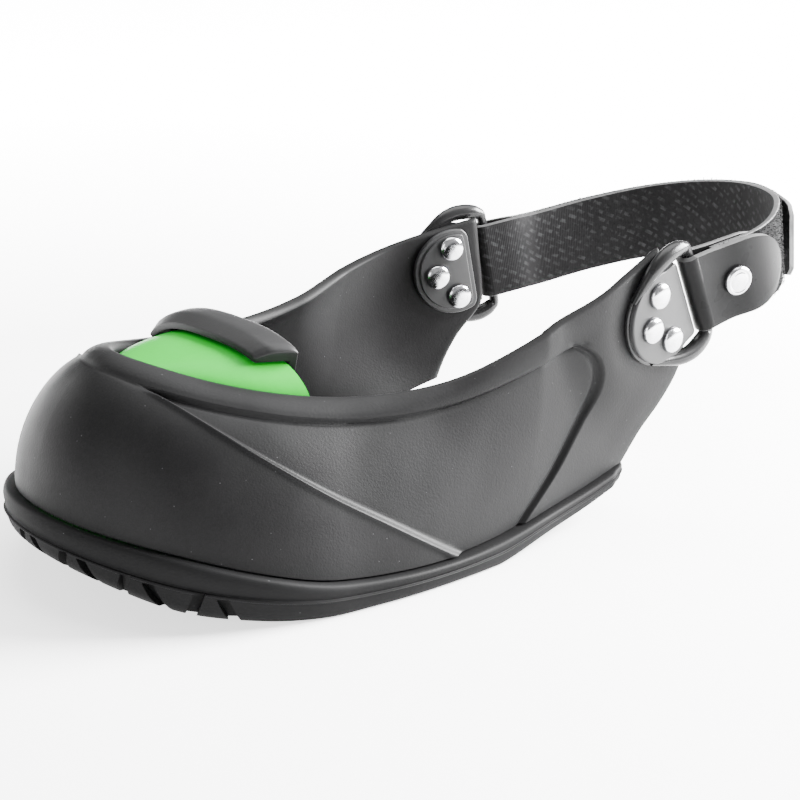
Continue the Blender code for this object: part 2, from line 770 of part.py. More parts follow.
# Plates and rivets
def plate_outline(grow, rear, corner, radius, count=18):
    """D-shaped outline: round in front, straight behind."""
    angle = np.linspace(math.radians(70), math.radians(290), count)
    arc_p = PLATE_CENTRE + (radius + grow) * np.cos(angle)
    arc_q = (radius + grow) * np.sin(angle)
    rear_p = [rear, rear]
    rear_q = [-corner, corner]
    return np.concatenate([arc_p, rear_p]), np.concatenate([arc_q, rear_q])


def plate_solid(name, side, outline, low, high, finish, round_edge=0.0):
    """Flat plate of an outline between two levels, with a small edge round on its top."""
    p, q = outline
    rings = [on_plate(side, p, q, np.full_like(p, low))]
    if round_edge:
        rings.append(on_plate(side, p, q, np.full_like(p, high - round_edge)))
        shrink = 1 - round_edge / PLATE_RADIUS
        p = PLATE_CENTRE + (p - PLATE_CENTRE) * shrink
        q = q * shrink
    rings.append(on_plate(side, p, q, np.full_like(p, high)))
    return solid_loft(name, rings, finish)


def loop_tube(name, side):
    """Strap loop: a round bar behind the plate, its thinner ends sunk into the plate's rim."""
    upper_half = list(LOOP_ROUTE)
    bar = [(LOOP_BAR, across, BAR_RADIUS, LOOP_LEVEL) for across in (BAR_STRAIGHT, 0, -BAR_STRAIGHT)]
    route = upper_half + bar + [(p, -q, radius, level) for p, q, radius, level in reversed(upper_half)]
    path = resample(smooth_path(route, 5), LOOP_RINGS)
    tangent = unit(np.gradient(path[:, :2], axis=0))
    normal = np.stack([-tangent[:, 1], tangent[:, 0]], -1)
    angle = np.linspace(0, 2 * math.pi, LOOP_SIDES, endpoint=False)
    rings = []
    for (along_plate, over, radius, level), across in zip(path, normal):
        shift = LOOP_SHIFT[side] * np.clip(1 + along_plate / LOOP_SHIFT_FADE, 0, 1)
        p = along_plate + across[0] * radius * np.cos(angle)
        q = over + shift + across[1] * radius * np.cos(angle)
        n = level + radius * np.sin(angle)
        rings.append(on_plate(side, p, q, n))
    return solid_loft(name, rings, None)


def rivet_cutters(side, owner, low, high):
    """Clearance holes of a side's three rivets."""
    cutters = []
    for number, (p, q) in enumerate(RIVET_PLACES):
        ends = (on_plate(side, p, q, low), on_plate(side, p, q, high))
        cutters.append(cylinder_cutter(f"hole_{owner}_{SIDE_NAME[side]}_{number}", ends, HOLE))
    return cutters


def make_plates(side):
    name = SIDE_NAME[side]
    flange = plate_outline(FLANGE, PLATE_REAR, PLATE_CORNER, PLATE_RADIUS)
    plate = plate_solid(f"loop_plate_{name}", side, flange, GAP, FLANGE_TOP, "moulded_plastic", 0.4)
    raised = plate_outline(0.0, PLATE_REAR - 0.2, PLATE_CORNER - 0.6, PLATE_RADIUS)
    low = FLANGE_TOP - PLATE_STEP
    boolean(plate, plate_solid(f"raised_{name}", side, raised, low, PLATE_TOP, None, 0.6), 'UNION')
    boolean(plate, loop_tube(f"loop_{name}", side), 'UNION')
    backing = plate_outline(0.0, BACKING_REAR, BACKING_CORNER, BACKING_RADIUS)
    near = -WALL - GAP
    far = near - BACKING_THICK
    back = plate_solid(f"backing_plate_{name}", side, backing, near, far, "moulded_plastic", -0.6)
    for cutter in rivet_cutters(side, "plate", -1, PLATE_TOP + 2):
        boolean(plate, cutter, 'DIFFERENCE')
    for cutter in rivet_cutters(side, "backing", far - 2, near + 1):
        boolean(back, cutter, 'DIFFERENCE')


def rivet_profile(head, low, high):
    """Half profile of a rivet with a domed head at each end, as radius and level."""
    dome = [(head * out, RIVET_RIM + RIVET_DOME * up) for out, up in RIVET_CURVE]
    dome = dome + [(head, 0.0), (SHANK, 0.0)]
    top = [(radius, high + level) for radius, level in dome]
    bottom = [(radius, low - level) for radius, level in reversed(dome)]
    return top + bottom


def make_rivet(name, centre, axis, head, low, high):
    """Turned rivet along an axis through a centre."""
    first = unit(np.cross(axis, np.array([0.3, 0.2, 0.9])))
    second = np.cross(axis, first)
    angle = np.linspace(0, 2 * math.pi, RIVET_SIDES, endpoint=False)
    circle = np.cos(angle)[:, None] * first + np.sin(angle)[:, None] * second
    rings = [centre + axis * level + circle * radius for radius, level in rivet_profile(head, low, high)]
    return solid_loft(name, rings, "bright_steel", ROUND_ANGLE)


def make_rivets(side):
    out = FRAMES[side][3]
    high = PLATE_TOP + GAP
    low = -WALL - 2 * GAP - BACKING_THICK
    for number, (p, q) in enumerate(RIVET_PLACES):
        name = f"rivet_{SIDE_NAME[side]}_{number + 1}"
        make_rivet(name, on_plate(side, p, q, 0.0), out, RIVET_HEAD, low, high)


# Strap and tab
def ribbon(name, path, width_axis, half_width, thick, finish):
    """Flat band along a path, with its width along given axes, which may lie askew to the path."""
    tangent = unit(np.gradient(path, axis=0))
    face = unit(np.cross(tangent, width_axis)) * thick / 2
    edge = width_axis * np.asarray(half_width)[:, None]
    rings = np.stack([path + edge + face, path + edge - face, path - edge - face, path - edge + face], 1)
    return solid_loft(name, rings, finish, ROUND_ANGLE)


def loop_turn(side, radius, first, count=9):
    """Half turn round a loop's bar on its plate side; first is the side of the wing it starts on."""
    angle = np.linspace(-math.pi / 2, math.pi / 2, count) * -first
    rear = LOOP_BAR - radius * np.cos(angle)
    out = LOOP_LEVEL + radius * np.sin(angle)
    return on_plate(side, rear, np.full(count, STRAP_SHIFT[side]), out)


def route_point(row):
    behind, left, height = row
    return np.array([TOE_X - behind, left, height])


def strap_middle():
    """Middle line of the strap's inner layer, from the left tab to the right loop."""
    start = on_plate(1, LOOP_BAR, STRAP_SHIFT[1], LOOP_LEVEL)
    level = LOOP_LEVEL - BAR_RADIUS - GAP - STRAP_THICK / 2
    stop = on_plate(-1, LOOP_BAR, STRAP_SHIFT[-1], level)
    near_stop = on_plate(-1, LOOP_BAR + STOP_RUN, STRAP_SHIFT[-1], level)
    points = [start] + [route_point(row) for row in STRAP_ROUTE] + [near_stop, stop]
    path = smooth_path(points)
    length = np.linalg.norm(np.diff(path, axis=0), axis=1).sum()
    return resample(path, int(length / ROUTE_STEP) + 1)


def strap_width_axis(count):
    """Width axes of the strap: along the loop bars at its ends and upright round the heel."""
    left = FRAMES[1][2]
    right = FRAMES[-1][2]
    upright = np.array([0.0, 0.0, 1.0])
    place = np.linspace(0, 1, count)[:, None]
    near_left = np.clip(LEFT_HOLD - place * STRAP_TWIST, 0, 1)
    near_right = np.clip(1 - (1 - place) * STRAP_TWIST, 0, 1)
    return unit(left * near_left + right * near_right + upright * (1 - np.abs(place * 2 - 1)) * 2)


def outward_of(path, axes):
    """Directions away from the inside of the strap loop."""
    tangent = unit(np.gradient(path, axis=0))
    outward = unit(np.cross(axes, tangent))
    return outward if outward[len(path) // 2][0] < 0 else -outward


def make_strap():
    """Strap from the tab round the heel, through the right loop and back over itself to a loose end."""
    middle = strap_middle()
    axes = strap_width_axis(len(middle))
    outward = outward_of(middle, axes)
    radius = BAR_RADIUS + GAP + STRAP_THICK / 2
    turn = loop_turn(-1, radius, -1)
    layers = STRAP_THICK + LAYER_GAP
    to_loop = np.arange(len(middle))[::-1] * ROUTE_STEP
    apart = layers + (2 * radius - layers) * np.clip(1 - to_loop / LAYER_EASE, 0, 1) ** 2
    end = int(len(middle) * FLAP_PLACE)
    from_end = (np.arange(len(middle)) - end) * ROUTE_STEP
    tail = np.clip(1 - from_end / FLAP_LENGTH, 0, 1)[:, None] ** 2
    outer = middle + outward * (apart[:, None] + tail * FLAP_FLARE)
    outer = outer - tail * FLAP_DROOP * np.array([0.0, 0.0, 1.0])
    begin = int(round(STRAP_START / ROUTE_STEP))
    path = np.concatenate([middle[begin:-1], turn, outer[end:-1][::-1]])
    turn_axes = np.repeat(axes[-1:], len(turn), 0)
    width = np.concatenate([axes[begin:-1], turn_axes, axes[end:-1][::-1]])
    half = np.full(len(path), STRAP_HALF_WIDTH)
    half[-1] = STRAP_HALF_WIDTH - FLAP_CORNER
    strap = ribbon("strap", path, width, half, STRAP_THICK, "strap_fabric")
    return middle, axes, outward, strap


def make_tab(middle, axes, outward, strap):
    """Leather tab: two leaves on either side of the strap, folded round the left loop's bar."""
    radius = BAR_RADIUS + GAP + TAB_THICK / 2
    leaf = STRAP_THICK / 2 + GAP + TAB_THICK / 2
    count = TAB_FINE * len(middle)
    fine = resample(middle, count)
    old_places = np.linspace(0, 1, len(axes))
    places = np.linspace(0, 1, count)
    fine_axes = unit(np.stack([np.interp(places, old_places, axes[:, i]) for i in range(3)], -1))
    fine_out = unit(np.stack([np.interp(places, old_places, outward[:, i]) for i in range(3)], -1))
    run = np.linalg.norm(np.diff(fine, axis=0), axis=1).cumsum()
    body, tip = TAB_STATIONS
    wanted = np.concatenate([np.linspace(run[1], TAB_LENGTH - TAB_ROUND, body),
                             TAB_LENGTH - TAB_ROUND * np.linspace(1, 0, tip) ** 2])
    stations = np.unique(np.searchsorted(run, wanted))
    reach = run[stations]
    apart = leaf + (radius - leaf) * np.clip(1 - reach / TAB_EASE, 0, 1) ** 2
    outer = fine[stations] + fine_out[stations] * apart[:, None]
    inner = fine[stations] - fine_out[stations] * apart[:, None]
    turn = loop_turn(1, radius, 1)
    path = np.concatenate([outer[::-1], turn, inner])
    turn_axes = np.repeat(fine_axes[:1], len(turn), 0)
    width = np.concatenate([fine_axes[stations][::-1], turn_axes, fine_axes[stations]])
    past = np.clip(1 - (reach[-1] - reach) / TAB_ROUND, 0, 1)
    wide = TAB_HALF_WIDTH + TAB_FLARE * np.clip(1 - reach / TAB_EASE, 0, 1)
    half = wide * np.sqrt(np.clip(1 - past ** 2, TAB_TIP, 1))
    half = np.concatenate([half[::-1], np.full(len(turn), TAB_HALF_WIDTH + TAB_FLARE), half])
    tab = ribbon("strap_tab", path, width, half, TAB_THICK, "black_leather")
    at = int(np.searchsorted(run, TAB_RIVET_AT))
    centre = fine[at]
    axis = fine_out[at]
    level = leaf + TAB_THICK / 2 + GAP
    for item in (tab, strap):
        ends = (centre - axis * 2 * level, centre + axis * 2 * level)
        boolean(item, cylinder_cutter(f"hole_{item.name}", ends, HOLE), 'DIFFERENCE')
    make_rivet("tab_rivet", centre, axis, TAB_RIVET_HEAD, -level, level)


for old in list(bpy.data.objects):
    bpy.data.objects.remove(old, do_unlink=True)
PARTS = bpy.data.collections.new("safety_toe_overshoe")
CUTTERS = bpy.data.collections.new("cutters")
bpy.context.scene.collection.children.link(PARTS)
bpy.context.scene.collection.children.link(CUTTERS)
SIDE_NAME = {1: "left", -1: "right"}

make_outsole()
make_upper()
make_toe_cap()
make_cap_bumper()
for which in (1, -1):
    make_plates(which)
    make_rivets(which)
make_tab(*make_strap())
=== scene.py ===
"""Looks of the safety toe overshoe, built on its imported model.

The wall, sole, cap, plates and strap follow the same sizes as the solids that they stand for, on finer
grids and with the relief, rounded edges and fibres that the solids leave out. Sizes are in millimetres
and become metres when a mesh is made. Along the shoe, "behind" is the distance behind the toe tip; side
1 is the shoe's left and side -1 its right.
"""
import json
import math

import bmesh
import bpy
import numpy as np
from mathutils import Matrix

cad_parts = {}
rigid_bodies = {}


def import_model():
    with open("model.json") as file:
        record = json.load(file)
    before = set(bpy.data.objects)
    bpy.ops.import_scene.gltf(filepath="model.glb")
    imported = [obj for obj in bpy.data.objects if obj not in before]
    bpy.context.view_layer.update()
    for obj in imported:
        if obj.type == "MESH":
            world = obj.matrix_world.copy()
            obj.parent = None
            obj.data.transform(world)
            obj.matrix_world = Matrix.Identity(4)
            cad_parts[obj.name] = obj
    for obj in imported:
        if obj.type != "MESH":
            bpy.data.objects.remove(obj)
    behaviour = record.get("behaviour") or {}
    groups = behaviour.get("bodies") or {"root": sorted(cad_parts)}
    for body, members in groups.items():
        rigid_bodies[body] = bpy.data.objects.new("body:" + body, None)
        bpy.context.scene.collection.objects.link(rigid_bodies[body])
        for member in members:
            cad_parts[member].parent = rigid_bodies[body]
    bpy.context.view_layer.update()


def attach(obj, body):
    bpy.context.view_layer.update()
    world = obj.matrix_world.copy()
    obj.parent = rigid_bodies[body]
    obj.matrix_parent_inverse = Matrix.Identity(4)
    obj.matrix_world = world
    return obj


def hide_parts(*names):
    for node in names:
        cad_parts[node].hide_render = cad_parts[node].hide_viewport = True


MM = 0.001
GAP = 0.3
TOE_X = 84.0
SIDE_NAME = {1: "left", -1: "right"}

# Sole: outline, welt line and tread line
TOE_LENGTH = 61.5
BALL_HALF_WIDTH = 57.0
TOE_ROUNDNESS = 2.0
SOLE_LENGTH = 164.0
# Columns: behind the toe tip, half width
SOLE_SIDE = ((61.5, 57.0), (81, 57.3), (100, 55.8), (120, 52.6), (140, 48.2), (164, 44.0))
# Columns: behind the toe tip, welt height, tread height
SOLE_LINES = (
    (0, 24.8, 11.2),
    (20, 19.6, 3.5),
    (38, 14.0, 0.8),
    (56, 9.1, 0.0),
    (80, 6.4, 0.0),
    (112, 6.5, 0.0),
    (128, 8.4, 2.9),
    (146, 10.8, 5.9),
    (164, 14.6, 10.4),
)
# Columns: share of the sole's thickness above the tread, inset at the toe, inset from the ball backwards
SOLE_RINGS = (
    (0.0, 5.2, 1.1),
    (0.03, 4.5, 0.85),
    (0.07, 3.7, 0.65),
    (0.12, 2.9, 0.5),
    (0.18, 2.1, 0.4),
    (0.24, 1.5, 0.33),
    (0.30, 1.1, 0.3),
    (0.38, 0.75, 0.3),
    (0.46, 0.55, 0.3),
    (0.485, 0.42, 0.25),
    (0.50, 0.0, -0.03),
    (0.52, -0.12, -0.12),
    (0.54, 0.0, -0.03),
    (0.555, 0.45, 0.28),
    (0.58, 0.6, 0.4),
    (0.65, 0.32, 0.22),
    (0.72, 0.1, 0.08),
    (0.80, 0.0, 0.0),
    (0.86, 0.12, 0.1),
    (0.92, 0.4, 0.3),
    (0.955, 0.75, 0.55),
    (0.98, 1.25, 0.95),
    (0.993, 1.8, 1.35),
    (1.0, 2.5, 1.9),
)
# Distances behind the toe tip between which the toe's edge turns into the ball's
EDGE_CHANGE = (26.0, 64.0)
SOLE_COLUMNS = 150
REAR_CORNER = 6.0
OUTLINE_STEPS = 481

# Tread: zigzag grooves across the sole, inside its edge
GROOVE_FIRST = 24.75
GROOVE_PITCH = 11.5
GROOVE_COUNT = 11
GROOVE_WIDTH = 2.6
GROOVE_DEPTH = 2.0
GROOVE_FLOOR = -6.0
GROOVE_MARGIN = 5.0
TOE_GROOVES_END = 55.0
TOE_GROOVE_MARGIN = 11.0
ZIGZAG_STEP = 13.0
ZIGZAG_SWING = 4.0

# Slots round the toe's lower edge, leaning to either side in turn
SLOT_COUNT = 7
SLOT_FIRST = 4.6
SLOT_PITCH = 9.4
SLOT_HALF_WIDTH = 1.5
SLOT_LEAN = 1.9
SLOT_BELOW = 2.0
SLOT_RISE = 0.5
SLOT_INSETS = (9.0, 1.9)
SLOT_OUTSIDE = 3.0

# Upper: rim line, wall and wings
WALL = 3.0
WELT_GAP = 0.55
# Columns: share of the path from toe to wing end, inset of the wall's foot from the sole's outline
UPPER_INSET = ((0, 3.2), (0.3, 3.0), (0.55, 2.3), (1.0, 2.2))
RIM_FRONT = 28.5
RIM_SHOULDER = 130.0
RIM_HALF_WIDTH = 45.6
RIM_ROUNDNESS = 1.7
RIM_END = 172.5
RIM_SPREAD = 1.32
# Columns: behind the toe tip, half width
RIM_SIDE = ((130, 45.6), (147, 42.6), (160, 40.6), (172.5, 39.4))
# Columns: behind the toe tip, rim height
RIM_HEIGHT = (
    (28.5, 60.7),
    (47, 54.4),
    (66, 50.4),
    (85, 49.2),
    (104, 51.0),
    (123, 56.1),
    (142, 62.6),
    (172.5, 73.2),
)
# Columns: height share up the wall, rear edge of the left wing, rear edge of the right wing
REAR_EDGE = (
    (0, 164, 161.5),
    (0.25, 175.0, 171.2),
    (0.44, 182.0, 180.0),
    (0.56, 181.6, 180.2),
    (0.74, 175.8, 178.8),
    (0.89, 171.8, 177.4),
    (1.0, 168.8, 176.2),
)
REAR_EDGE_REACH = 8
# Columns: share of the path from toe to wing end, roundness of the wall's profile
WALL_ROUNDNESS = ((0, 0.97), (0.3, 0.88), (0.55, 0.62), (0.8, 0.3), (1.0, 0.1))
WING_START = 70.0
WING_SPAN = 110.0
WING_POWER = 1.5
WING_LEAN = {1: 9.0, -1: 3.5}
WING_LIFT = {1: 3.6, -1: -9.5}
WING_BULGE = {1: 0.0, -1: 7.0}
REAR_COLUMN = {1: 1, -1: 2}
WALL_COLUMNS = 215
GUARD_ROWS = 24
PANEL_ROWS = 36
COLLAR_ROWS = 20

# Relief of the wall: collar roll, toe guard and sunk side panel
PANEL_DEPTH = 1.2
PANEL_REAR = 0.85
PANEL_BEND = 0.15
COLLAR_EDGE = 0.80
COLLAR_BEAD = 0.8
BEAD_END = 0.84
BEAD_FADE = 0.08
# Columns: share of the path, height share of the toe guard's upper edge
GUARD_EDGE = (
    (0, 0.81),
    (0.12, 0.795),
    (0.21, 0.72),
    (0.36, 0.51),
    (0.52, 0.25),
    (0.65, 0.0),
    (0.72, -0.14),
)
GUARD_FLOOR = 0.02
PANEL_TIP = 0.02
# Columns: height share, share of the path where the panel ends
PANEL_END = (
    (0, 0.787),
    (0.14, 0.835),
    (0.32, 0.865),
    (0.55, 0.881),
    (0.7, 0.869),
    (0.8, 0.845),
    (1.0, 0.82),
)
# Widths over which the panel's floor drops from the collar, the guard and the wing's end
COLLAR_DROP = 1.3
GUARD_DROP = 1.5
END_DROP = 1.7
EDGE_GROOVE = 0.45
EDGE_GROOVE_WIDTH = 0.9
GUARD_RIDGE = 0.5
RIDGE_WIDTH = 0.75
# Soft creases. Columns: share of the path, height share, length, width, turn in degrees, depth
CREASES = (
    (0.50, 0.60, 34.0, 5.0, 62, 0.08),
    (0.60, 0.48, 40.0, 6.0, 66, 0.10),
    (0.70, 0.42, 36.0, 5.0, 72, 0.08),
    (0.79, 0.36, 26.0, 4.0, 80, 0.06),
    (0.93, 0.30, 22.0, 5.0, 96, 0.14),
    (0.30, 0.30, 46.0, 9.0, 18, 0.20),
    (0.12, 0.42, 40.0, 10.0, 4, 0.18),
)

# Toe cap and its bumper
CAP_WALL = 1.6
CAP_LENGTH = {1: 67.0, -1: 59.0}
CAP_GAP = 0.5
CAP_FOOT = 0.012
CAP_COLUMNS = 44
CAP_SPREAD = 0.8
CAP_ROWS = 12
CROWN_ROWS = 20
# Columns: behind the toe tip, crown height
CROWN = ((28, 57.6), (45, 59.2), (66, 59.2))
# Powers of the crown's cross section: the first squares its shoulders, the second rounds it over
CROWN_POWERS = (2.8, 0.6)
BUMPER_HALF_WIDTH = 23.8
BUMPER_MIDDLE = -1.8
BUMPER_FRONT = 9.0
BUMPER_BACK = 2.6
BUMPER_TOP = 3.8
BUMPER_LIP = 4.0
BUMPER_LIP_THICK = 1.6
BUMPER_LIFT = 1.0
BUMPER_CLEARANCE = 0.5
BUMPER_COLUMNS = 72
BUMPER_FORWARD_PLACE = 0.75
BUMPER_END = 0.9
BUMPER_END_DROP = 0.2
BUMPER_END_ROUND = 0.5
BUMPER_CORNER = 0.5
BUMPER_SHARP = 38
# Top of the bumper's section. Columns: distance in front of the cap's edge, share of its height
BUMPER_FACE = (
    (9.0, 0.0),
    (9.0, 0.36),
    (8.93, 0.405),
    (8.75, 0.445),
    (8.4, 0.49),
    (6.8, 0.69),
    (5.2, 0.88),
    (4.6, 0.94),
    (3.9, 0.98),
    (3.0, 1.0),
    (1.2, 1.01),
    (-0.5, 1.0),
    (-1.4, 0.965),
    (-2.1, 0.89),
    (-2.5, 0.80),
    (-2.6, 0.70),
)

# Loop plates, backing plates and rivets, in the plate's own frame
# Per side: behind the toe tip, to the left, height of the middle of the plate's rear edge
PLATE_PLACE = {1: (176.6, 46.3, 60.8), -1: (177.1, -47.0, 49.8)}
PLATE_TILT = {1: math.radians(25), -1: math.radians(9)}
PLATE_TOE_IN = {1: math.radians(8), -1: math.radians(15)}
PLATE_LEAN = math.radians(-2)
PLATE_FLAT_RADIUS = 19.0
PLATE_FLAT_REACH = {1: 36.0, -1: 58.0}
PLATE_CENTRE = -8.0
PLATE_RADIUS = 13.3
PLATE_CORNER = 12.9
PLATE_REAR = 1.2
PLATE_ROUNDING = 1.2
FLANGE = 0.8
FLANGE_TOP = 1.3
FLANGE_ROUND = 0.4
PLATE_TOP = 2.7
PLATE_STEP = 0.8
PLATE_STEP_REAR = 0.2
PLATE_STEP_CORNER = 0.6
PLATE_ROUND = 0.5
BACKING_RADIUS = 13.0
BACKING_REAR = -2.2
BACKING_CORNER = 10.5
BACKING_ROUNDING = 1.2
BACKING_THICK = 2.0
BACKING_BASE = 1.4
BACKING_INSET = 1.4
BACKING_ROUND = 0.4
BAR_RADIUS = 1.5
LOOP_BAR = 5.6
LOOP_LEVEL = 2.6
LOOP_RINGS = 130
LOOP_SIDES = 20
LOOP_SHIFT = {1: 0.0, -1: -0.9}
LOOP_SHIFT_FADE = 14.0
# Columns: along the plate, across the plate, radius, level above the wing
LOOP_ROUTE = (
    (-16.5, 10.2, 0.9, 1.2),
    (-11.8, 13.0, 1.4, 1.7),
    (-7.0, 15.4, 2.0, 2.3),
    (-2.5, 16.4, 2.3, 2.6),
    (1.4, 16.1, 2.3, 2.6),
    (4.2, 15.0, 2.0, 2.6),
)
BAR_STRAIGHT = 12.9
# Columns: along the plate, across the plate
RIVET_PLACES = ((-8.3, 7.6), (-14.1, 0.0), (-8.3, -7.6))
RIVET_HEAD = 3.7
RIVET_DOME = 1.4
RIVET_RIM = 0.35
RIVET_POWER = 2.4
RIVET_SIDES = 40
RIVET_STEPS = 9
RIVET_SHARP = 50
RIVET_MIDDLE = 0.005
SHANK = 1.5
# Columns: share of the head's radius, share of the dome's height
TAB_RIVET_CURVE = (
    (0.005, 0.80),
    (0.50, 0.78),
    (0.60, 0.70),
    (0.66, 0.60),
    (0.71, 0.60),
    (0.77, 0.74),
    (0.84, 0.76),
    (0.92, 0.60),
    (0.98, 0.30),
    (1.0, 0.0),
)

# Heel strap and its tab
STRAP_HALF_WIDTH = 11.4
STRAP_THICK = 1.6
STRAP_START = 6.6
STRAP_STEP = 1.2
STRAP_TWIST = 3.0
LEFT_HOLD = 1.35
STRAP_SHIFT = {1: -0.4, -1: -0.9}
STRAP_ROUND = 0.3
TAB_HALF_WIDTH = 11.7
TAB_FLARE = 0.6
TAB_THICK = 1.6
TAB_LENGTH = 29.4
TAB_ROUND = 13.5
TAB_EASE = 9.0
TAB_TIP = 0.03
TAB_BEGIN = 0.6
TAB_EDGE = 0.35
TAB_RIVET_AT = 11.8
TAB_RIVET_HEAD = 4.3
LAYER_GAP = 0.45
LAYER_EASE = 26.0
STOP_RUN = 9.0
FLAP_PLACE = 0.335
FLAP_FLARE = 4.2
FLAP_DROOP = 4.6
FLAP_LENGTH = 22.0
FLAP_CORNER = 3.0
# Columns: behind the toe tip, to the left, height of the strap's middle
STRAP_ROUTE = (
    (191.5, 49.0, 64.4),
    (199.0, 49.8, 65.6),
    (206.0, 49.2, 66.8),
    (213.0, 46.2, 68.0),
    (220.0, 40.4, 68.8),
    (227.0, 31.8, 68.6),
    (232.8, 20.4, 67.5),
    (236.3, 7.5, 66.0),
    (237.0, -6.0, 63.8),
    (234.2, -18.6, 61.2),
    (227.6, -29.6, 58.2),
    (215.0, -39.2, 54.4),
    (201.0, -44.0, 51.4),
)
PILE_TUFTS = 9000
PILE_HEIGHT = 0.75
PILE_WIDTH = 0.13
PILE_SEED = 11
PILE_SHORTEST = 0.35
PILE_STOP = 8
PILE_FADE = 12.0
PILE_ROOM = 0.8
# Shape of a ribbon. Columns: share of its height, millimetres along its lean
PILE_CURVE = ((0.0, 0.0), (0.8, 0.15), (1.0, 0.5), (0.55, 0.95))

# Camera: turn from the shoe's left towards its toe, height angle, distance, lens in pixels of an
# 800 pixel frame, point looked at (behind the toe tip and height) and the picture's middle
CAMERA_TURN = math.radians(35.4)
CAMERA_RISE = math.radians(18.7)
CAMERA_DISTANCE = 646.9
CAMERA_PIXELS = 2309.7
CAMERA_TARGET = (120.0, 32.4)
CAMERA_MIDDLE = (410.6, 390.0)
FRAME_PIXELS = 800
SENSOR = 36.0
CLIP = (0.02, 20.0)

# Stage. Columns of lights: name, to the right, to the camera, up, width, height, power
LIGHTS = (
    ("top", 0.05, -0.25, 1.0, 1.0, 0.8, 24),
    ("right", 0.72, -0.2, 0.38, 0.5, 0.45, 165),
    ("left_rear", -0.7, -0.4, 0.3, 0.3, 0.5, 6),
    ("front_left", -0.5, 0.7, 0.3, 0.5, 0.4, 6),
)
SURROUND = 0.7
# Floor glow under the shoe and beyond it, and the distances in metres between which it rises; the dimmer
# glow under the shoe is painted shade under it
FLOOR_GLOW_AND_PAINTED_SHADE = (1.6, 13.0)
FLOOR_RISE = (0.2, 0.6)
FLOOR_COLOUR = (0.6, 0.6, 0.6)
FLOOR_REACH = 6.0
FLOOR_DROP = 0.0003


# Tables and small curves
def curve_at(table, place, column=1):
    """Smooth value of a table's column at a place along its first column."""
    rows = np.array(table, float)
    xs = rows[:, 0]
    ys = rows[:, column]
    slopes = np.gradient(ys, xs)
    place = np.clip(place, xs[0], xs[-1])
    k = np.clip(np.searchsorted(xs, place) - 1, 0, len(xs) - 2)
    span = xs[k + 1] - xs[k]
    f = (place - xs[k]) / span
    rise = ys[k] * (1 + 2 * f) * (1 - f) ** 2 + ys[k + 1] * f * f * (3 - 2 * f)
    return rise + span * (slopes[k] * f * (1 - f) ** 2 + slopes[k + 1] * f * f * (f - 1))


def soft_step(value):
    """0 below -0.5, 1 above 0.5, smooth between."""
    f = np.clip(value + 0.5, 0, 1)
    return f * f * (3 - 2 * f)


def ease(value):
    """0 below 0, 1 above 1, smooth between."""
    return soft_step(value - 0.5)


def hump(value):
    """Smooth hump of height 1 about 0."""
    return np.exp(-value ** 2)


def along_run(points, run, places):
    """Points of a polyline at lengths along it."""
    return np.stack([np.interp(places, run, points[:, i]) for i in range(points.shape[1])], -1)


def resample(points, count):
    """Points at equal steps along a polyline."""
    points = np.asarray(points, float)
    run = run_of(points)
    return along_run(points, run, np.linspace(0, run[-1], count))


def run_of(points):
    """Length along a polyline up to each of its points."""
    steps = np.linalg.norm(np.diff(points, axis=0), axis=1)
    return np.concatenate([[0], np.cumsum(steps)])


def smooth_path(points, per_span=12):
    """Dense points on a smooth curve through given points."""
    points = np.asarray(points, float)
    places = np.arange(len(points), dtype=float)
    dense = np.linspace(0, len(points) - 1, per_span * (len(points) - 1) + 1)
    columns = []
    for i in range(points.shape[1]):
        table = np.stack([places, points[:, i]], -1)
        columns.append(curve_at(table, dense))
    return np.stack(columns, -1)


def unit(vectors):
    return vectors / np.linalg.norm(vectors, axis=-1, keepdims=True)


def half_outline(front, shoulder, half_width, roundness, side_table, end):
    """Half of a toe-shaped outline, from its front to its end, as behind and half width."""
    angle = np.linspace(0, math.pi / 2, 90)
    behind = shoulder - (shoulder - front) * np.cos(angle) ** (2 / roundness)
    width = half_width * np.sin(angle) ** (2 / roundness)
    rest = np.linspace(shoulder, end, 60)[1:]
    behind = np.concatenate([behind, rest])
    width = np.concatenate([width, curve_at(side_table, rest)])
    return np.stack([behind, width], -1)


SOLE_HALF = resample(
    half_outline(0, TOE_LENGTH, BALL_HALF_WIDTH, TOE_ROUNDNESS, SOLE_SIDE, SOLE_LENGTH), OUTLINE_STEPS)
RIM_HALF = resample(
    half_outline(RIM_FRONT, RIM_SHOULDER, RIM_HALF_WIDTH, RIM_ROUNDNESS, RIM_SIDE, RIM_END), OUTLINE_STEPS)
WALL_PATH = run_of(SOLE_HALF)[-1]


def along(half, share):
    """Point at a share of a half outline."""
    places = np.linspace(0, 1, len(half))
    return np.interp(share, places, half[:, 0]), np.interp(share, places, half[:, 1])


def welt_z(behind):
    return curve_at(SOLE_LINES, behind, 1)


def tread_z(behind):
    return np.maximum(curve_at(SOLE_LINES, behind, 2), 0.0)


# The upper's outer surface
def wall_base(share):
    """Foot of the wall, just inside the sole's lip."""
    step = 1e-3
    b0, w0 = along(SOLE_HALF, np.clip(share - step, 0, 1))
    b1, w1 = along(SOLE_HALF, np.clip(share + step, 0, 1))
    run = np.hypot(b1 - b0, w1 - w0)
    behind, width = along(SOLE_HALF, share)
    inset = curve_at(UPPER_INSET, share)
    return behind + inset * (w1 - w0) / run, np.maximum(width - inset * (b1 - b0) / run, 0)


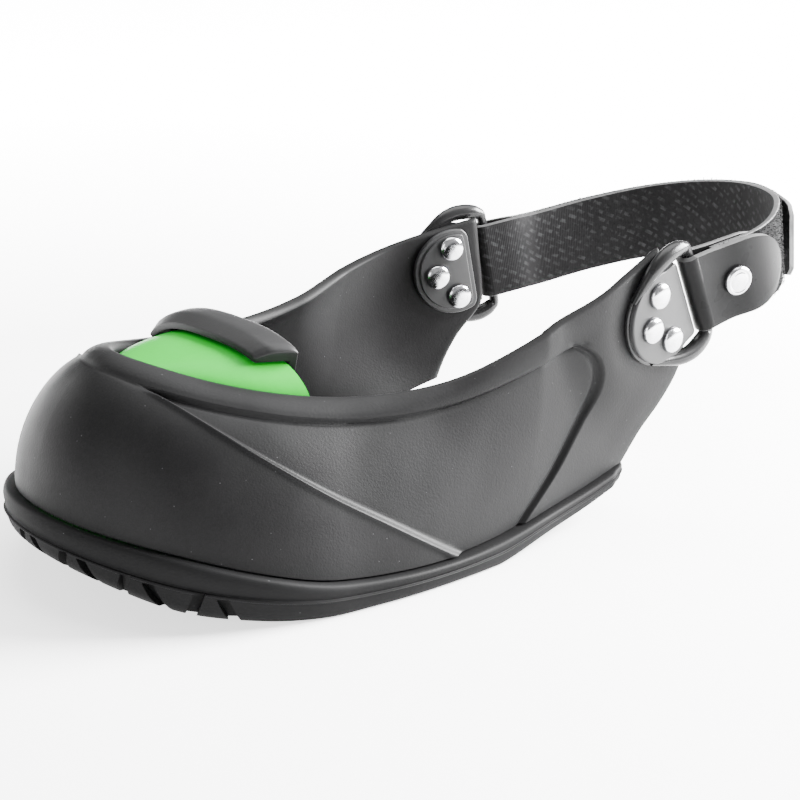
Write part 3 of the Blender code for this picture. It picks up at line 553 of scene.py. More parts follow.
def plain_wall(side, share, height):
    """Point of the wall without steps: share runs from toe to wing end, height from welt to rim."""
    share, height = np.broadcast_arrays(np.asarray(share, float), np.asarray(height, float))
    base_b, base_w = wall_base(share)
    base_z = welt_z(base_b) + WELT_GAP
    rim_b, rim_w = along(RIM_HALF, share ** RIM_SPREAD)
    rim_z = curve_at(RIM_HEIGHT, rim_b)
    round_share = curve_at(WALL_ROUNDNESS, share)
    inward = height + round_share * (1 - np.cos(height * math.pi / 2) - height)
    upward = height + round_share * (np.sin(height * math.pi / 2) - height)
    behind = base_b + (rim_b - base_b) * inward
    width = base_w + (rim_w - base_w) * inward
    z = base_z + (rim_z - base_z) * upward
    straight_end = SOLE_LENGTH + (RIM_END - SOLE_LENGTH) * height
    rear_edge = curve_at(REAR_EDGE, height, REAR_COLUMN[side])
    behind = behind + share ** REAR_EDGE_REACH * (rear_edge - straight_end)
    wing = np.clip((behind - WING_START) / WING_SPAN, 0, None) ** WING_POWER
    width = width + wing * (WING_LEAN[side] * height + WING_BULGE[side] * np.sin(height * math.pi))
    z = z + wing * WING_LIFT[side] * height
    return np.stack([TOE_X - behind, side * width, z], -1)


def wall_normal(surface, side, share, height):
    """Outward normal of a wall surface by differences."""
    step = 2e-3
    share = np.clip(share, 2 * step, 1 - step)
    height = np.clip(height, step, 1 - step)
    run = surface(side, share + step, height) - surface(side, share - step, height)
    rise = surface(side, share, height + step) - surface(side, share, height - step)
    return unit(np.cross(run, rise) * side)


def plate_frame(side):
    """Frame of a loop plate: middle of its rear edge, axes along it, across it and outwards."""
    behind, left, height = PLATE_PLACE[side]
    middle = np.array([TOE_X - behind, left, height])
    turn = PLATE_TOE_IN[side]
    tilt = PLATE_TILT[side]
    flat = math.cos(PLATE_LEAN)
    out = np.array([-math.sin(turn) * flat, side * math.cos(turn) * flat, math.sin(PLATE_LEAN)])
    level = unit(np.cross(np.array([0.0, 0.0, 1.0]), out)) * side
    up = np.cross(level, out) * -side
    rearward = unit(level * math.cos(tilt) + up * math.sin(tilt))
    across = unit(up * math.cos(tilt) - level * math.sin(tilt))
    return middle, rearward, across, out


FRAMES = {side: plate_frame(side) for side in (1, -1)}


def on_plate(side, rear, across, out):
    """World point from plate coordinates."""
    middle, p_axis, q_axis, n_axis = FRAMES[side]
    rear, across, out = (np.asarray(v, float)[..., None] for v in (rear, across, out))
    return middle + rear * p_axis + across * q_axis + out * n_axis


def flat_wall(side, share, height):
    """The wall, made flat where a loop plate lies on it."""
    points = plain_wall(side, share, height)
    middle, p_axis, q_axis, n_axis = FRAMES[side]
    centre = middle + PLATE_CENTRE * p_axis
    far = np.linalg.norm(points - centre, axis=-1)
    fade = (far - PLATE_FLAT_RADIUS) / (PLATE_FLAT_REACH[side] - PLATE_FLAT_RADIUS)
    weight = 1 - soft_step(fade - 0.5)
    lift = (points - middle) @ n_axis
    return points - (weight * lift)[..., None] * n_axis


# Materials
def principled(name, colour, roughness, **sockets):
    """Principled material; sockets are further inputs by name, with _ for a space."""
    made = bpy.data.materials.new(name)
    made.use_nodes = True
    shader = made.node_tree.nodes["Principled BSDF"]
    shader.inputs["Base Color"].default_value = (*colour, 1)
    shader.inputs["Roughness"].default_value = roughness
    for socket, value in sockets.items():
        shader.inputs[socket.replace("_", " ")].default_value = value
    return made, made.node_tree, shader


def texture(tree, kind, source="Object", stretch=None, turn=0.0, **sockets):
    """Procedural texture node in object or strip coordinates."""
    where = tree.nodes.new("ShaderNodeTexCoord").outputs[source]
    if stretch:
        place = tree.nodes.new("ShaderNodeMapping")
        place.inputs["Scale"].default_value = stretch
        place.inputs["Rotation"].default_value = (0, 0, turn)
        tree.links.new(where, place.inputs["Vector"])
        where = place.outputs["Vector"]
    made = tree.nodes.new(kind)
    for socket, value in sockets.items():
        made.inputs[socket].default_value = value
    tree.links.new(where, made.inputs["Vector"])
    return made


def noise(tree, scale, detail):
    """Noise value in object coordinates."""
    return texture(tree, "ShaderNodeTexNoise", Scale=scale, Detail=detail).outputs["Fac"]


def colour_ramp(tree, source, stops):
    """Colours by a value. Stops: place, colour."""
    made = tree.nodes.new("ShaderNodeValToRGB")
    elements = made.color_ramp.elements
    while len(elements) < len(stops):
        elements.new(0.5)
    for element, (place, colour) in zip(elements, stops):
        element.position = place
        element.color = (*colour, 1)
    tree.links.new(source, made.inputs["Fac"])
    return made.outputs["Color"]


def grey(value):
    return (value, value, value * 1.03)


def mixed(tree, factor, first, second):
    """Mix of two colour sockets by a factor socket."""
    made = tree.nodes.new("ShaderNodeMix")
    made.data_type = 'RGBA'
    tree.links.new(factor, made.inputs["Factor"])
    tree.links.new(first, made.inputs["A"])
    tree.links.new(second, made.inputs["B"])
    return made.outputs["Result"]


def bumped(tree, shader, heights):
    """Chain of bumps on a shader. Heights: value socket, strength, depth in metres."""
    normal = None
    for source, strength, depth in heights:
        made = tree.nodes.new("ShaderNodeBump")
        made.inputs["Strength"].default_value = strength
        made.inputs["Distance"].default_value = depth
        tree.links.new(source, made.inputs["Height"])
        if normal:
            tree.links.new(normal, made.inputs["Normal"])
        normal = made.outputs["Normal"]
    tree.links.new(normal, shader.inputs["Normal"])


def toned(tree, shader, source, stops):
    """Base colour by a value. Stops: place, colour."""
    tree.links.new(colour_ramp(tree, source, stops), shader.inputs["Base Color"])


def glossed(tree, shader, source, stops):
    """Roughness by a value. Stops: place, roughness."""
    ramp = colour_ramp(tree, source, [(place, (rough,) * 3) for place, rough in stops])
    tree.links.new(ramp, shader.inputs["Roughness"])


def rubber(name, dark, light, rough, grain, speck, gleam):
    """Moulded rubber: cloudy tone, fine grain, few dust specks and uneven gloss."""
    made, tree, shader = principled(name, grey(dark), rough[0], Specular_IOR_Level=gleam)
    cloud = noise(tree, 38.0, 4.0)
    fine = noise(tree, 1750.0, 3.0)
    dust = texture(tree, "ShaderNodeTexVoronoi", Scale=300.0).outputs["Distance"]
    tone = colour_ramp(tree, cloud, ((0.3, grey(dark)), (0.7, grey(light))))
    pale = colour_ramp(tree, dust, ((0.0, grey(speck)), (0.03, grey(speck * 0.5)), (0.05, grey(0.0))))
    add = tree.nodes.new("ShaderNodeMix")
    add.data_type = 'RGBA'
    add.blend_type = 'ADD'
    add.inputs["Factor"].default_value = 1.0
    tree.links.new(tone, add.inputs["A"])
    tree.links.new(pale, add.inputs["B"])
    tree.links.new(add.outputs["Result"], shader.inputs["Base Color"])
    glossed(tree, shader, cloud, ((0.35, rough[0]), (0.65, rough[1])))
    bumped(tree, shader, ((cloud, 0.12, 0.0006), (fine, grain, 0.00012)))
    return made


def green_paint():
    made, tree, shader = principled("green_paint", (0.004, 0.2, 0.012), 0.4, Specular_IOR_Level=0.06)
    cloud = noise(tree, 30.0, 3.0)
    peel = noise(tree, 420.0, 2.0)
    toned(tree, shader, cloud, ((0.3, (0.003, 0.19, 0.01)), (0.7, (0.005, 0.215, 0.014))))
    glossed(tree, shader, cloud, ((0.3, 0.34), (0.7, 0.44)))
    bumped(tree, shader, ((peel, 0.18, 0.00018),))
    return made


def moulded_plastic(name, dark, light, rough, gleam):
    """Moulded plastic: even dark tone, fine grain and a gloss range."""
    made, tree, shader = principled(name, grey(dark), rough[0], Specular_IOR_Level=gleam)
    cloud = noise(tree, 90.0, 3.0)
    fine = noise(tree, 2600.0, 2.0)
    toned(tree, shader, cloud, ((0.3, grey(dark)), (0.7, grey(light))))
    glossed(tree, shader, cloud, ((0.3, rough[0]), (0.7, rough[1])))
    bumped(tree, shader, ((fine, 0.1, 0.00006),))
    return made


def bright_steel():
    made, tree, shader = principled("bright_steel", (0.8, 0.8, 0.81), 0.16, Metallic=1.0)
    cloud = noise(tree, 500.0, 4.0)
    toned(tree, shader, cloud, ((0.3, grey(0.38)), (0.65, grey(0.5))))
    glossed(tree, shader, cloud, ((0.3, 0.13), (0.7, 0.26)))
    bumped(tree, shader, ((cloud, 0.05, 0.0001),))
    return made


def black_leather():
    made, tree, shader = principled("black_leather", grey(0.0035), 0.3, Specular_IOR_Level=0.035)
    cloud = noise(tree, 70.0, 3.0)
    grain = texture(tree, "ShaderNodeTexVoronoi", Scale=1300.0).outputs["Distance"]
    toned(tree, shader, cloud, ((0.3, grey(0.003)), (0.7, grey(0.0045))))
    glossed(tree, shader, cloud, ((0.3, 0.26), (0.7, 0.36)))
    bumped(tree, shader, ((cloud, 0.1, 0.0005), (grain, 0.1, 0.00006)))
    return made


def strap_weave():
    """Woven inner face of the strap, with a faint repeat of broken slanted dashes."""
    made, tree, shader = principled("strap_weave", grey(0.003), 0.75, Specular_IOR_Level=0.05)
    dash = texture(tree, "ShaderNodeTexBrick", "UV", (1, 1, 1), math.radians(-32), Scale=1.0)
    dash.inputs["Brick Width"].default_value = 3.8
    dash.inputs["Row Height"].default_value = 2.1
    dash.inputs["Mortar Size"].default_value = 0.7
    dash.inputs["Mortar Smooth"].default_value = 0.5
    worn = noise(tree, 420.0, 5.0)
    broad = noise(tree, 60.0, 3.0)
    plain = colour_ramp(tree, broad, ((0.3, grey(0.0048)), (0.7, grey(0.0076))))
    marked = colour_ramp(tree, worn, ((0.42, grey(0.0056)), (0.66, grey(0.018))))
    tree.links.new(mixed(tree, dash.outputs["Fac"], marked, plain), shader.inputs["Base Color"])
    thread = texture(tree, "ShaderNodeTexWave", "UV", (1, 1, 1), Scale=0.55, Distortion=0.6)
    bumped(tree, shader, ((thread.outputs["Fac"], 0.3, 0.0001), (worn, 0.4, 0.00016)))
    return made


def strap_pile():
    """Looped pile of the strap: dark, rough and speckled."""
    made, tree, shader = principled("strap_pile", grey(0.002), 0.9, Specular_IOR_Level=0.05)
    worn = noise(tree, 900.0, 4.0)
    toned(tree, shader, worn, ((0.42, grey(0.0025)), (0.58, grey(0.006)), (0.72, grey(0.02))))
    bumped(tree, shader, ((worn, 0.8, 0.0004),))
    return made


def edge_core_and_highlight(name, dark, light):
    """Cut edge of a band, lighter than its faces: partly its pale core, partly a painted highlight along the
    edge.
    """
    made, tree, shader = principled(name, grey(light), 0.7)
    worn = noise(tree, 500.0, 4.0)
    # The lighter edge tone is partly the pale core and partly painted highlight
    toned(tree, shader, worn, ((0.35, grey(dark)), (0.65, grey(light))))
    bumped(tree, shader, ((worn, 0.4, 0.0002),))
    return made


# Mesh helpers
def mesh_object(name, points, faces):
    """Object with a mesh from points in millimetres."""
    mesh = bpy.data.meshes.new(name)
    mesh.from_pydata((points * MM).tolist(), [], faces)
    item = bpy.data.objects.new(name, mesh)
    bpy.context.scene.collection.objects.link(item)
    return item


def add_piece(name, points, faces, finishes, nodes=(), sharp=40, face_slots=None, strip=None):
    """Mesh piece from points in millimetres, which rides on the shoe and stands for its CAD nodes."""
    item = mesh_object(name, np.asarray(points, float).reshape(-1, 3), faces)
    mesh = item.data
    if face_slots is not None:
        mesh.polygons.foreach_set("material_index", np.asarray(face_slots, np.int32))
    if strip is not None:
        corners = np.zeros(len(mesh.loops), np.int32)
        mesh.loops.foreach_get("vertex_index", corners)
        layer = mesh.uv_layers.new(name="strip")
        layer.data.foreach_set("uv", np.asarray(strip, np.float32)[corners].ravel())
    for finish in finishes:
        mesh.materials.append(finish)
    weld(item, sharp)
    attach(item, "root")
    if nodes:
        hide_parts(*nodes)
    return item


def weld(item, sharp):
    """Weld a mesh, make its faces agree and shade it."""
    work = bmesh.new()
    work.from_mesh(item.data)
    bmesh.ops.remove_doubles(work, verts=work.verts, dist=2e-6)
    bmesh.ops.dissolve_degenerate(work, edges=work.edges, dist=1e-7)
    bmesh.ops.recalc_face_normals(work, faces=work.faces)
    work.to_mesh(item.data)
    work.free()
    item.data.shade_smooth()
    item.data.set_sharp_from_angle(angle=math.radians(sharp))


def bake_modifiers(item, sharp):
    """Make a piece's modifiers its mesh."""
    graph = bpy.context.evaluated_depsgraph_get()
    made = bpy.data.meshes.new_from_object(item.evaluated_get(graph))
    item.modifiers.clear()
    item.data = made
    weld(item, sharp)


def grid_faces(rows, columns, closed=False):
    """Quads of a rows by columns grid of points, with the columns joined end to end if closed."""
    faces = []
    for r in range(rows - 1):
        for c in range(columns if closed else columns - 1):
            d = (c + 1) % columns
            faces.append((r * columns + c, r * columns + d, (r + 1) * columns + d, (r + 1) * columns + c))
    return faces


def loft_faces(rows, columns):
    """Faces of a closed solid through rings, with end faces."""
    faces = grid_faces(rows, columns, closed=True)
    faces.append(tuple(range(columns)))
    faces.append(tuple(range((rows - 1) * columns, rows * columns)))
    return faces


def add_loft(name, rings, finish, node, sharp):
    """Closed piece through rings, standing for one CAD node."""
    add_piece(name, rings, loft_faces(*rings.shape[:2]), [finish], [node], sharp)


def edge_round(distance, radius):
    """Share of the full half thickness at a distance from a rounded edge."""
    near = np.clip(1 - distance / radius, 0, 1)
    return np.sqrt(1 - near * near)


# Upper
def wall_columns():
    """Column places from toe to wing end, closer at the panel's rear edge and the rounded wing end."""
    end = WALL / 2 / WALL_PATH
    near_end = 1 - end * (1 - np.sin(np.linspace(0, math.pi / 2, 6)))
    near_panel = PANEL_REAR + np.linspace(-0.02, 0.02, 21)
    spread = np.linspace(0, 1 - 2 * end, WALL_COLUMNS)
    return np.unique(np.concatenate([spread, near_panel, near_end]))


def wall_grid(columns):
    """Shares and heights of the wall's grid, with lines along the guard, the collar and the panel's end."""
    guard = np.clip(curve_at(GUARD_EDGE, columns), GUARD_FLOOR, COLLAR_EDGE - PANEL_TIP)[:, None]
    below = 1 - (1 - np.linspace(0, 1, GUARD_ROWS)) ** 1.8
    panel = 0.5 - 0.5 * np.cos(math.pi * np.linspace(0, 1, PANEL_ROWS)[1:])
    collar = np.sin(np.linspace(0, math.pi / 2, COLLAR_ROWS)[1:])
    top = np.broadcast_to(COLLAR_EDGE + (1 - COLLAR_EDGE) * collar, (len(columns), len(collar)))
    heights = np.concatenate([guard * below, guard + (COLLAR_EDGE - guard) * panel, top], 1)
    before = np.clip((columns - PANEL_REAR) / PANEL_BEND + 1, 0, 1)
    after = np.clip((1 - columns) / (1 - PANEL_REAR), 0, 1)
    bend = np.minimum(before, after)[:, None]
    shares = columns[:, None] + bend * (curve_at(PANEL_END, heights) - PANEL_REAR)
    return shares, heights


def wall_tall(side, columns):
    """Length up the wall from foot to rim at each column."""
    heights = np.linspace(0, 1, 25)
    points = plain_wall(side, columns[:, None], heights[None, :])
    return np.linalg.norm(np.diff(points, axis=1), axis=2).sum(1)[:, None]


def wall_relief(side, shares, heights, tall):
    """Height of the outer face above the plain wall: collar roll, guard ridge, sunk panel and creases."""
    step = 1e-3
    guard = curve_at(GUARD_EDGE, shares)
    slope = (curve_at(GUARD_EDGE, shares + step) - guard) / step * tall / WALL_PATH
    to_collar = (COLLAR_EDGE - heights) * tall
    to_guard = (heights - guard) * tall / np.sqrt(1 + slope ** 2)
    to_end = (curve_at(PANEL_END, heights) - shares) * WALL_PATH
    sunk = ease(to_collar / COLLAR_DROP) * ease(to_guard / GUARD_DROP) * ease(to_end / END_DROP)
    on_panel = ease(to_guard / 2 + 1) * ease(to_end / 2 + 1)
    by_collar = hump((to_collar - COLLAR_DROP) / EDGE_GROOVE_WIDTH) * on_panel
    by_end = hump((to_end - END_DROP) / EDGE_GROOVE_WIDTH) * ease(to_collar / 2 + 1) * ease(to_guard / 2)
    groove = np.maximum(by_collar, by_end)
    ridge = hump(to_guard / RIDGE_WIDTH) * ease(to_collar / 3) * ease(to_end / 3)
    rise = np.clip((heights - COLLAR_EDGE) / (1 - COLLAR_EDGE), 0, 1)
    roll = np.sin(rise * math.pi) ** 0.75 * (1 - soft_step((shares - BEAD_END) / BEAD_FADE))
    relief = COLLAR_BEAD * roll + GUARD_RIDGE * ridge - PANEL_DEPTH * sunk - EDGE_GROOVE * groove
    for at_share, at_height, length, width, turn, depth in CREASES:
        run = (shares - at_share) * WALL_PATH
        rise = (heights - at_height) * tall
        turned = math.radians(turn)
        lengthwise = run * math.cos(turned) + rise * math.sin(turned)
        across = rise * math.cos(turned) - run * math.sin(turned)
        relief = relief - depth * hump(lengthwise / length * 2) * hump(across / width)
    return relief


def wall_side(side):
    """Rings of one half of the upper, from toe to wing end: up the outer face and down the inner one."""
    columns = wall_columns()
    shares, heights = wall_grid(columns)
    tall = wall_tall(side, columns)
    plain = flat_wall(side, shares, heights)
    normals = wall_normal(flat_wall, side, shares, heights)
    outer = plain + normals * wall_relief(side, shares, heights, tall)[..., None]
    inner = plain - normals * WALL
    rim = edge_round((1 - heights) * tall, WALL / 2)
    end = edge_round((1 - columns[:, None]) * WALL_PATH, WALL / 2)
    middle = (outer + inner) / 2
    half = (outer - inner) / 2 * (rim * end)[..., None]
    rings = np.concatenate([middle + half, (middle - half)[:, ::-1]], 1)
    rings[0, :, 1] = 0
    return rings


def make_upper(finish):
    rings = np.concatenate([wall_side(-1)[:0:-1], wall_side(1)])
    faces = grid_faces(rings.shape[0], rings.shape[1], closed=True)
    add_piece("upper_wall", rings, faces, [finish], ["upper"], sharp=60)


# Sole
def sole_half():
    """Half outline of the sole with its rear corner rounded."""
    side = SOLE_HALF[SOLE_HALF[:, 0] <= SOLE_LENGTH - REAR_CORNER]
    corner_width = SOLE_HALF[-1, 1]
    angle = np.linspace(0, math.pi / 2, 12)
    corner = np.stack([SOLE_LENGTH - REAR_CORNER * (1 - np.sin(angle)),
                       corner_width - REAR_CORNER * (1 - np.cos(angle))], -1)
    return resample(np.concatenate([side, corner[1:]]), SOLE_COLUMNS + 1)


def sole_ring(thick_share, toe_inset, ball_inset):
    """Closed ring of the sole's side: toe middle, left side, then right side back to the toe."""
    half = sole_half()
    tangent = np.gradient(half, axis=0)
    tangent[0] = (0, 1)
    tangent[-1] = (0, -1)
    tangent = unit(tangent)
    first, last = EDGE_CHANGE
    inset = toe_inset + (ball_inset - toe_inset) * ease((half[:, 0] - first) / (last - first))
    behind = half[:, 0] + inset * tangent[:, 1]
    width = np.maximum(half[:, 1] - inset * tangent[:, 0], 0)
    low = tread_z(half[:, 0])
    high = welt_z(behind)
    z = low + (high - low) * thick_share
    left = np.stack([TOE_X - behind, width, z], -1)
    left[0, 1] = 0
    right = left[:0:-1] * (1, -1, 1)
    return np.concatenate([left, right])


def zigzag_rings(number):
    """Rings of one zigzag groove's cutter, its top following the tread."""
    middle = GROOVE_FIRST + GROOVE_PITCH * number
    reach = np.interp(middle, SOLE_HALF[:, 0], SOLE_HALF[:, 1])
    margin = TOE_GROOVE_MARGIN if middle < TOE_GROOVES_END else GROOVE_MARGIN
    steps = 2 * int((reach - margin) / ZIGZAG_STEP)
    across = (np.arange(steps + 1) - steps / 2) * ZIGZAG_STEP
    swing = ZIGZAG_SWING * (1 - 2 * (np.arange(steps + 1) % 2))
    half = GROOVE_WIDTH / 2
    rings = []
    for y, shift in zip(across, swing):
        behind = middle + shift
        top = tread_z(behind) + GROOVE_DEPTH
        front = TOE_X - behind + half
        back = TOE_X - behind - half
        rings.append([(front, y, top), (back, y, top), (back, y, GROOVE_FLOOR), (front, y, GROOVE_FLOOR)])
    return np.array(rings)


def slot_rings(side, number):
    """Rings of one leaning slot's cutter through the toe's lower edge."""
    share = (SLOT_FIRST + SLOT_PITCH * number) / WALL_PATH
    step = 1e-3
    point = np.array(along(SOLE_HALF, share))
    run = unit(np.array(along(SOLE_HALF, share + step)) - np.array(along(SOLE_HALF, share - step)))
    inward = np.array([run[1], -run[0]])
    tread = tread_z(point[0])
    top = tread + SLOT_RISE * (welt_z(point[0]) - tread)
    lean = SLOT_LEAN * (1 if number % 2 else -1)
    rings = []
    for z, shift, inset in ((tread - SLOT_BELOW, -lean, SLOT_INSETS[0]), (top, lean, SLOT_INSETS[1])):
        ring = []
        for across, depth in ((-1, inset), (1, inset), (1, -SLOT_OUTSIDE), (-1, -SLOT_OUTSIDE)):
            behind, width = point + run * (shift + across * SLOT_HALF_WIDTH) + inward * depth
            ring.append((TOE_X - behind, side * width, z))
        rings.append(ring)
    return np.array(rings)


def tread_cutter():
    """All grooves and slots of the tread as one cutting mesh."""
    rings = [zigzag_rings(number) for number in range(GROOVE_COUNT)]
    rings += [slot_rings(side, number) for side in (1, -1) for number in range(SLOT_COUNT)]
    points, faces = joined(rings)
    item = mesh_object("tread_grooves", points, faces)
    weld(item, 30)
    return item


def make_sole(finish):
    rings = np.array([sole_ring(*row) for row in SOLE_RINGS])
    count, columns = rings.shape[:2]
    faces = grid_faces(count, columns, closed=True)
    for first in (0, (count - 1) * columns):
        faces.append((first, first + 1, first + columns - 1))
        for k in range(1, SOLE_COLUMNS):
            faces.append((first + k, first + k + 1, first + columns - k - 1, first + columns - k))
    sole = add_piece("sole", rings, faces, [finish], ["outsole"])
    cutter = tread_cutter()
    cut = sole.modifiers.new("tread", 'BOOLEAN')
    cut.operation = 'DIFFERENCE'
    cut.object = cutter
    cut.solver = 'EXACT'
    cut.use_self = True
    bake_modifiers(sole, 35)
    bpy.data.objects.remove(cutter, do_unlink=True)


# Toe cap and bumper
def cap_point(side, share, height):
    """Outer face of the toe cap under the upper."""
    normals = wall_normal(plain_wall, side, share, height)
    return plain_wall(side, share, height) - normals * (WALL + CAP_GAP)


def cap_share(side, height, limit):
    """Share of the path at which the wall reaches a distance behind the toe tip."""
    shares = np.linspace(0, 1, 200)
    behind = TOE_X - plain_wall(side, shares, height)[:, 0]
    return np.interp(limit, behind, shares)


CAP_HEIGHTS = np.linspace(CAP_FOOT, 1, CAP_ROWS)
CAP_LIMITS = {
    side: np.array([cap_share(side, height, CAP_LENGTH[side]) for height in CAP_HEIGHTS]) for side in (1, -1)
}


def cap_strip(place):
    """One strip of the cap from the left foot over the crown to the right foot."""
    left = cap_point(1, place * CAP_LIMITS[1], CAP_HEIGHTS)
    right = cap_point(-1, place * CAP_LIMITS[-1], CAP_HEIGHTS)
    if place == 0:
        left[:, 1] = 0
        right[:, 1] = 0
    middle = (left[-1] + right[-1]) / 2
    rise = curve_at(CROWN, TOE_X - middle[0]) - middle[2]
    angle = np.linspace(0, math.pi, 2 * CROWN_ROWS + 1)[1:-1, None]
    over = middle + (left[-1] - middle) * np.cos(angle)
    square, rounding = CROWN_POWERS
    over[:, 2] += rise * (1 - np.abs(np.cos(angle[:, 0])) ** square) ** rounding
    return np.concatenate([left, over, right[::-1]])


def make_cap(finish):
    strips = np.array([cap_strip(place) for place in np.linspace(0, 1, CAP_COLUMNS + 1) ** CAP_SPREAD])
    faces = grid_faces(strips.shape[0], strips.shape[1])
    cap = add_piece("cap_shell", strips, faces, [finish], ["toe_cap"])
    centre = np.array([TOE_X - CAP_LENGTH[1], 0, 0]) * MM
    away = sum(np.dot(face.normal, np.array(face.center) - centre) for face in cap.data.polygons)
    shell = cap.modifiers.new("wall", 'SOLIDIFY')
    shell.thickness = CAP_WALL * MM
    shell.offset = -1 if away > 0 else 1
    shell.use_even_offset = True
    bake_modifiers(cap, 50)


def crown_line(place):
    """Crown of one strip of the cap, from left to right."""
    strip = cap_strip(place)
    return resample(strip[CAP_ROWS - 1:len(strip) - CAP_ROWS + 1], OUTLINE_STEPS)


def make_bumper(finish):
    """Clip-on strip over the cap's rear edge, with a flat sloped front and square ends."""
    edge = crown_line(1.0)
    covered = np.abs(edge[:, 1] - BUMPER_MIDDLE) <= BUMPER_HALF_WIDTH
    spread = np.sin(np.linspace(-math.pi / 2, math.pi / 2, BUMPER_COLUMNS)) * 0.5 + 0.5
    front = at_places(crown_line(BUMPER_FORWARD_PLACE)[covered], spread)
    edge = at_places(edge[covered], spread)
    run = unit(np.gradient(edge, axis=0))
    distance = np.minimum(run_of(edge), run_of(edge)[-1] - run_of(edge))
    under = CAP_WALL + 2 * BUMPER_CLEARANCE
    rings = []
    for point, ahead, direction, to_end in zip(edge, front, run, distance):
        forward = unit(ahead - point)
        outward = unit(np.cross(direction, forward))
        outward = outward * np.sign(outward[2])
        out_share = abs(point[1] - BUMPER_MIDDLE) / BUMPER_HALF_WIDTH
        end_share = np.clip((out_share - BUMPER_END) / (1 - BUMPER_END), 0, 1)
        trim = BUMPER_END_ROUND * (1 - edge_round(to_end, BUMPER_END_ROUND))
        tall = BUMPER_TOP * (1 - BUMPER_END_DROP * end_share ** 2) - trim
        section = [(np.clip(along_cap, trim - BUMPER_BACK, BUMPER_FRONT - trim), BUMPER_LIFT + tall * up)
                   for along_cap, up in BUMPER_FACE]
        low = trim - under - BUMPER_LIP_THICK
        section += [
            (trim - BUMPER_BACK, low + BUMPER_CORNER),
            (trim - BUMPER_BACK + BUMPER_CORNER, low),
            (BUMPER_LIP - trim - BUMPER_CORNER, low),
            (BUMPER_LIP - trim, low + BUMPER_CORNER),
            (BUMPER_LIP - trim, -under),
            (-BUMPER_CLEARANCE, -under),
            (-BUMPER_CLEARANCE, BUMPER_LIFT),
        ]
        rings.append([point + forward * along_cap + outward * up for along_cap, up in section])
    add_loft("bumper_strip", np.array(rings), finish, "cap_bumper", BUMPER_SHARP)


def at_places(points, places):
    """Points at shares of a polyline's length."""
    run = run_of(points)
    return along_run(points, run, places * run[-1])


# Plates and rivets
def plate_outline(grow, rear, corner, radius, rounding):
    """D-shaped outline with rounded rear corners: round in front, straight behind."""
    angle = np.linspace(math.radians(70), math.radians(290), 60)
    arc = np.stack([PLATE_CENTRE + (radius + grow) * np.cos(angle), (radius + grow) * np.sin(angle)], -1)
    raw = np.concatenate([arc, [(rear, -corner)], [(rear, corner)]])
    turn = np.linspace(0, 1, 6)[:, None]
    corners = []
    for number in (-2, -1):
        here = raw[number]
        before = here + unit(raw[number - 1] - here) * rounding
        after = here + unit(raw[(number + 1) % len(raw)] - here) * rounding
        corners.append((1 - turn) ** 2 * before + 2 * turn * (1 - turn) * here + turn ** 2 * after)
    outline = np.concatenate([arc, *corners])
    return resample(np.concatenate([outline, outline[:1]]), 97)[:-1]


def plate_rings(side, shape, low, high, edge):
    """Rings of a plate from its underside to its top, with a rounded top edge."""
    grow, rear, corner, radius, rounding = shape
    facing = np.sign(high - low)
    levels = [(0.0, low)]
    for angle in np.linspace(0, math.pi / 2, 6):
        levels.append((edge * (1 - math.cos(angle)), high - facing * edge * (1 - math.sin(angle))))
    rings = []
    for inset, level in levels:
        outline = plate_outline(grow - inset, rear - inset, corner - inset, radius, rounding)
        rings.append(on_plate(side, *outline.T, np.full(len(outline), level)))
    return np.array(rings)


def loop_rings(side):
    """Rings of the strap loop: a round bar behind the plate, its thinner ends sunk into the plate's rim."""
    upper_half = list(LOOP_ROUTE)
    bar = [(LOOP_BAR, across, BAR_RADIUS, LOOP_LEVEL) for across in (BAR_STRAIGHT, 0, -BAR_STRAIGHT)]
    route = upper_half + bar + [(p, -q, radius, level) for p, q, radius, level in reversed(upper_half)]
    path = resample(smooth_path(route, 12), LOOP_RINGS)
    tangent = unit(np.gradient(path[:, :2], axis=0))
    normal = np.stack([-tangent[:, 1], tangent[:, 0]], -1)
    angle = np.linspace(0, 2 * math.pi, LOOP_SIDES, endpoint=False)
    rings = []
    for (along_plate, over, radius, level), across in zip(path, normal):
        shift = LOOP_SHIFT[side] * np.clip(1 + along_plate / LOOP_SHIFT_FADE, 0, 1)
        p = along_plate + across[0] * radius * np.cos(angle)
        q = over + shift + across[1] * radius * np.cos(angle)
        rings.append(on_plate(side, p, q, level + radius * np.sin(angle)))
    return np.array(rings)


def joined(parts):
    """Points and faces of several lofted solids as one mesh."""
    points = np.concatenate([rings.reshape(-1, 3) for rings in parts])
    faces = []
    first = 0
    for rings in parts:
        faces += [tuple(first + i for i in face) for face in loft_faces(*rings.shape[:2])]
        first += rings.shape[0] * rings.shape[1]
    return points, faces


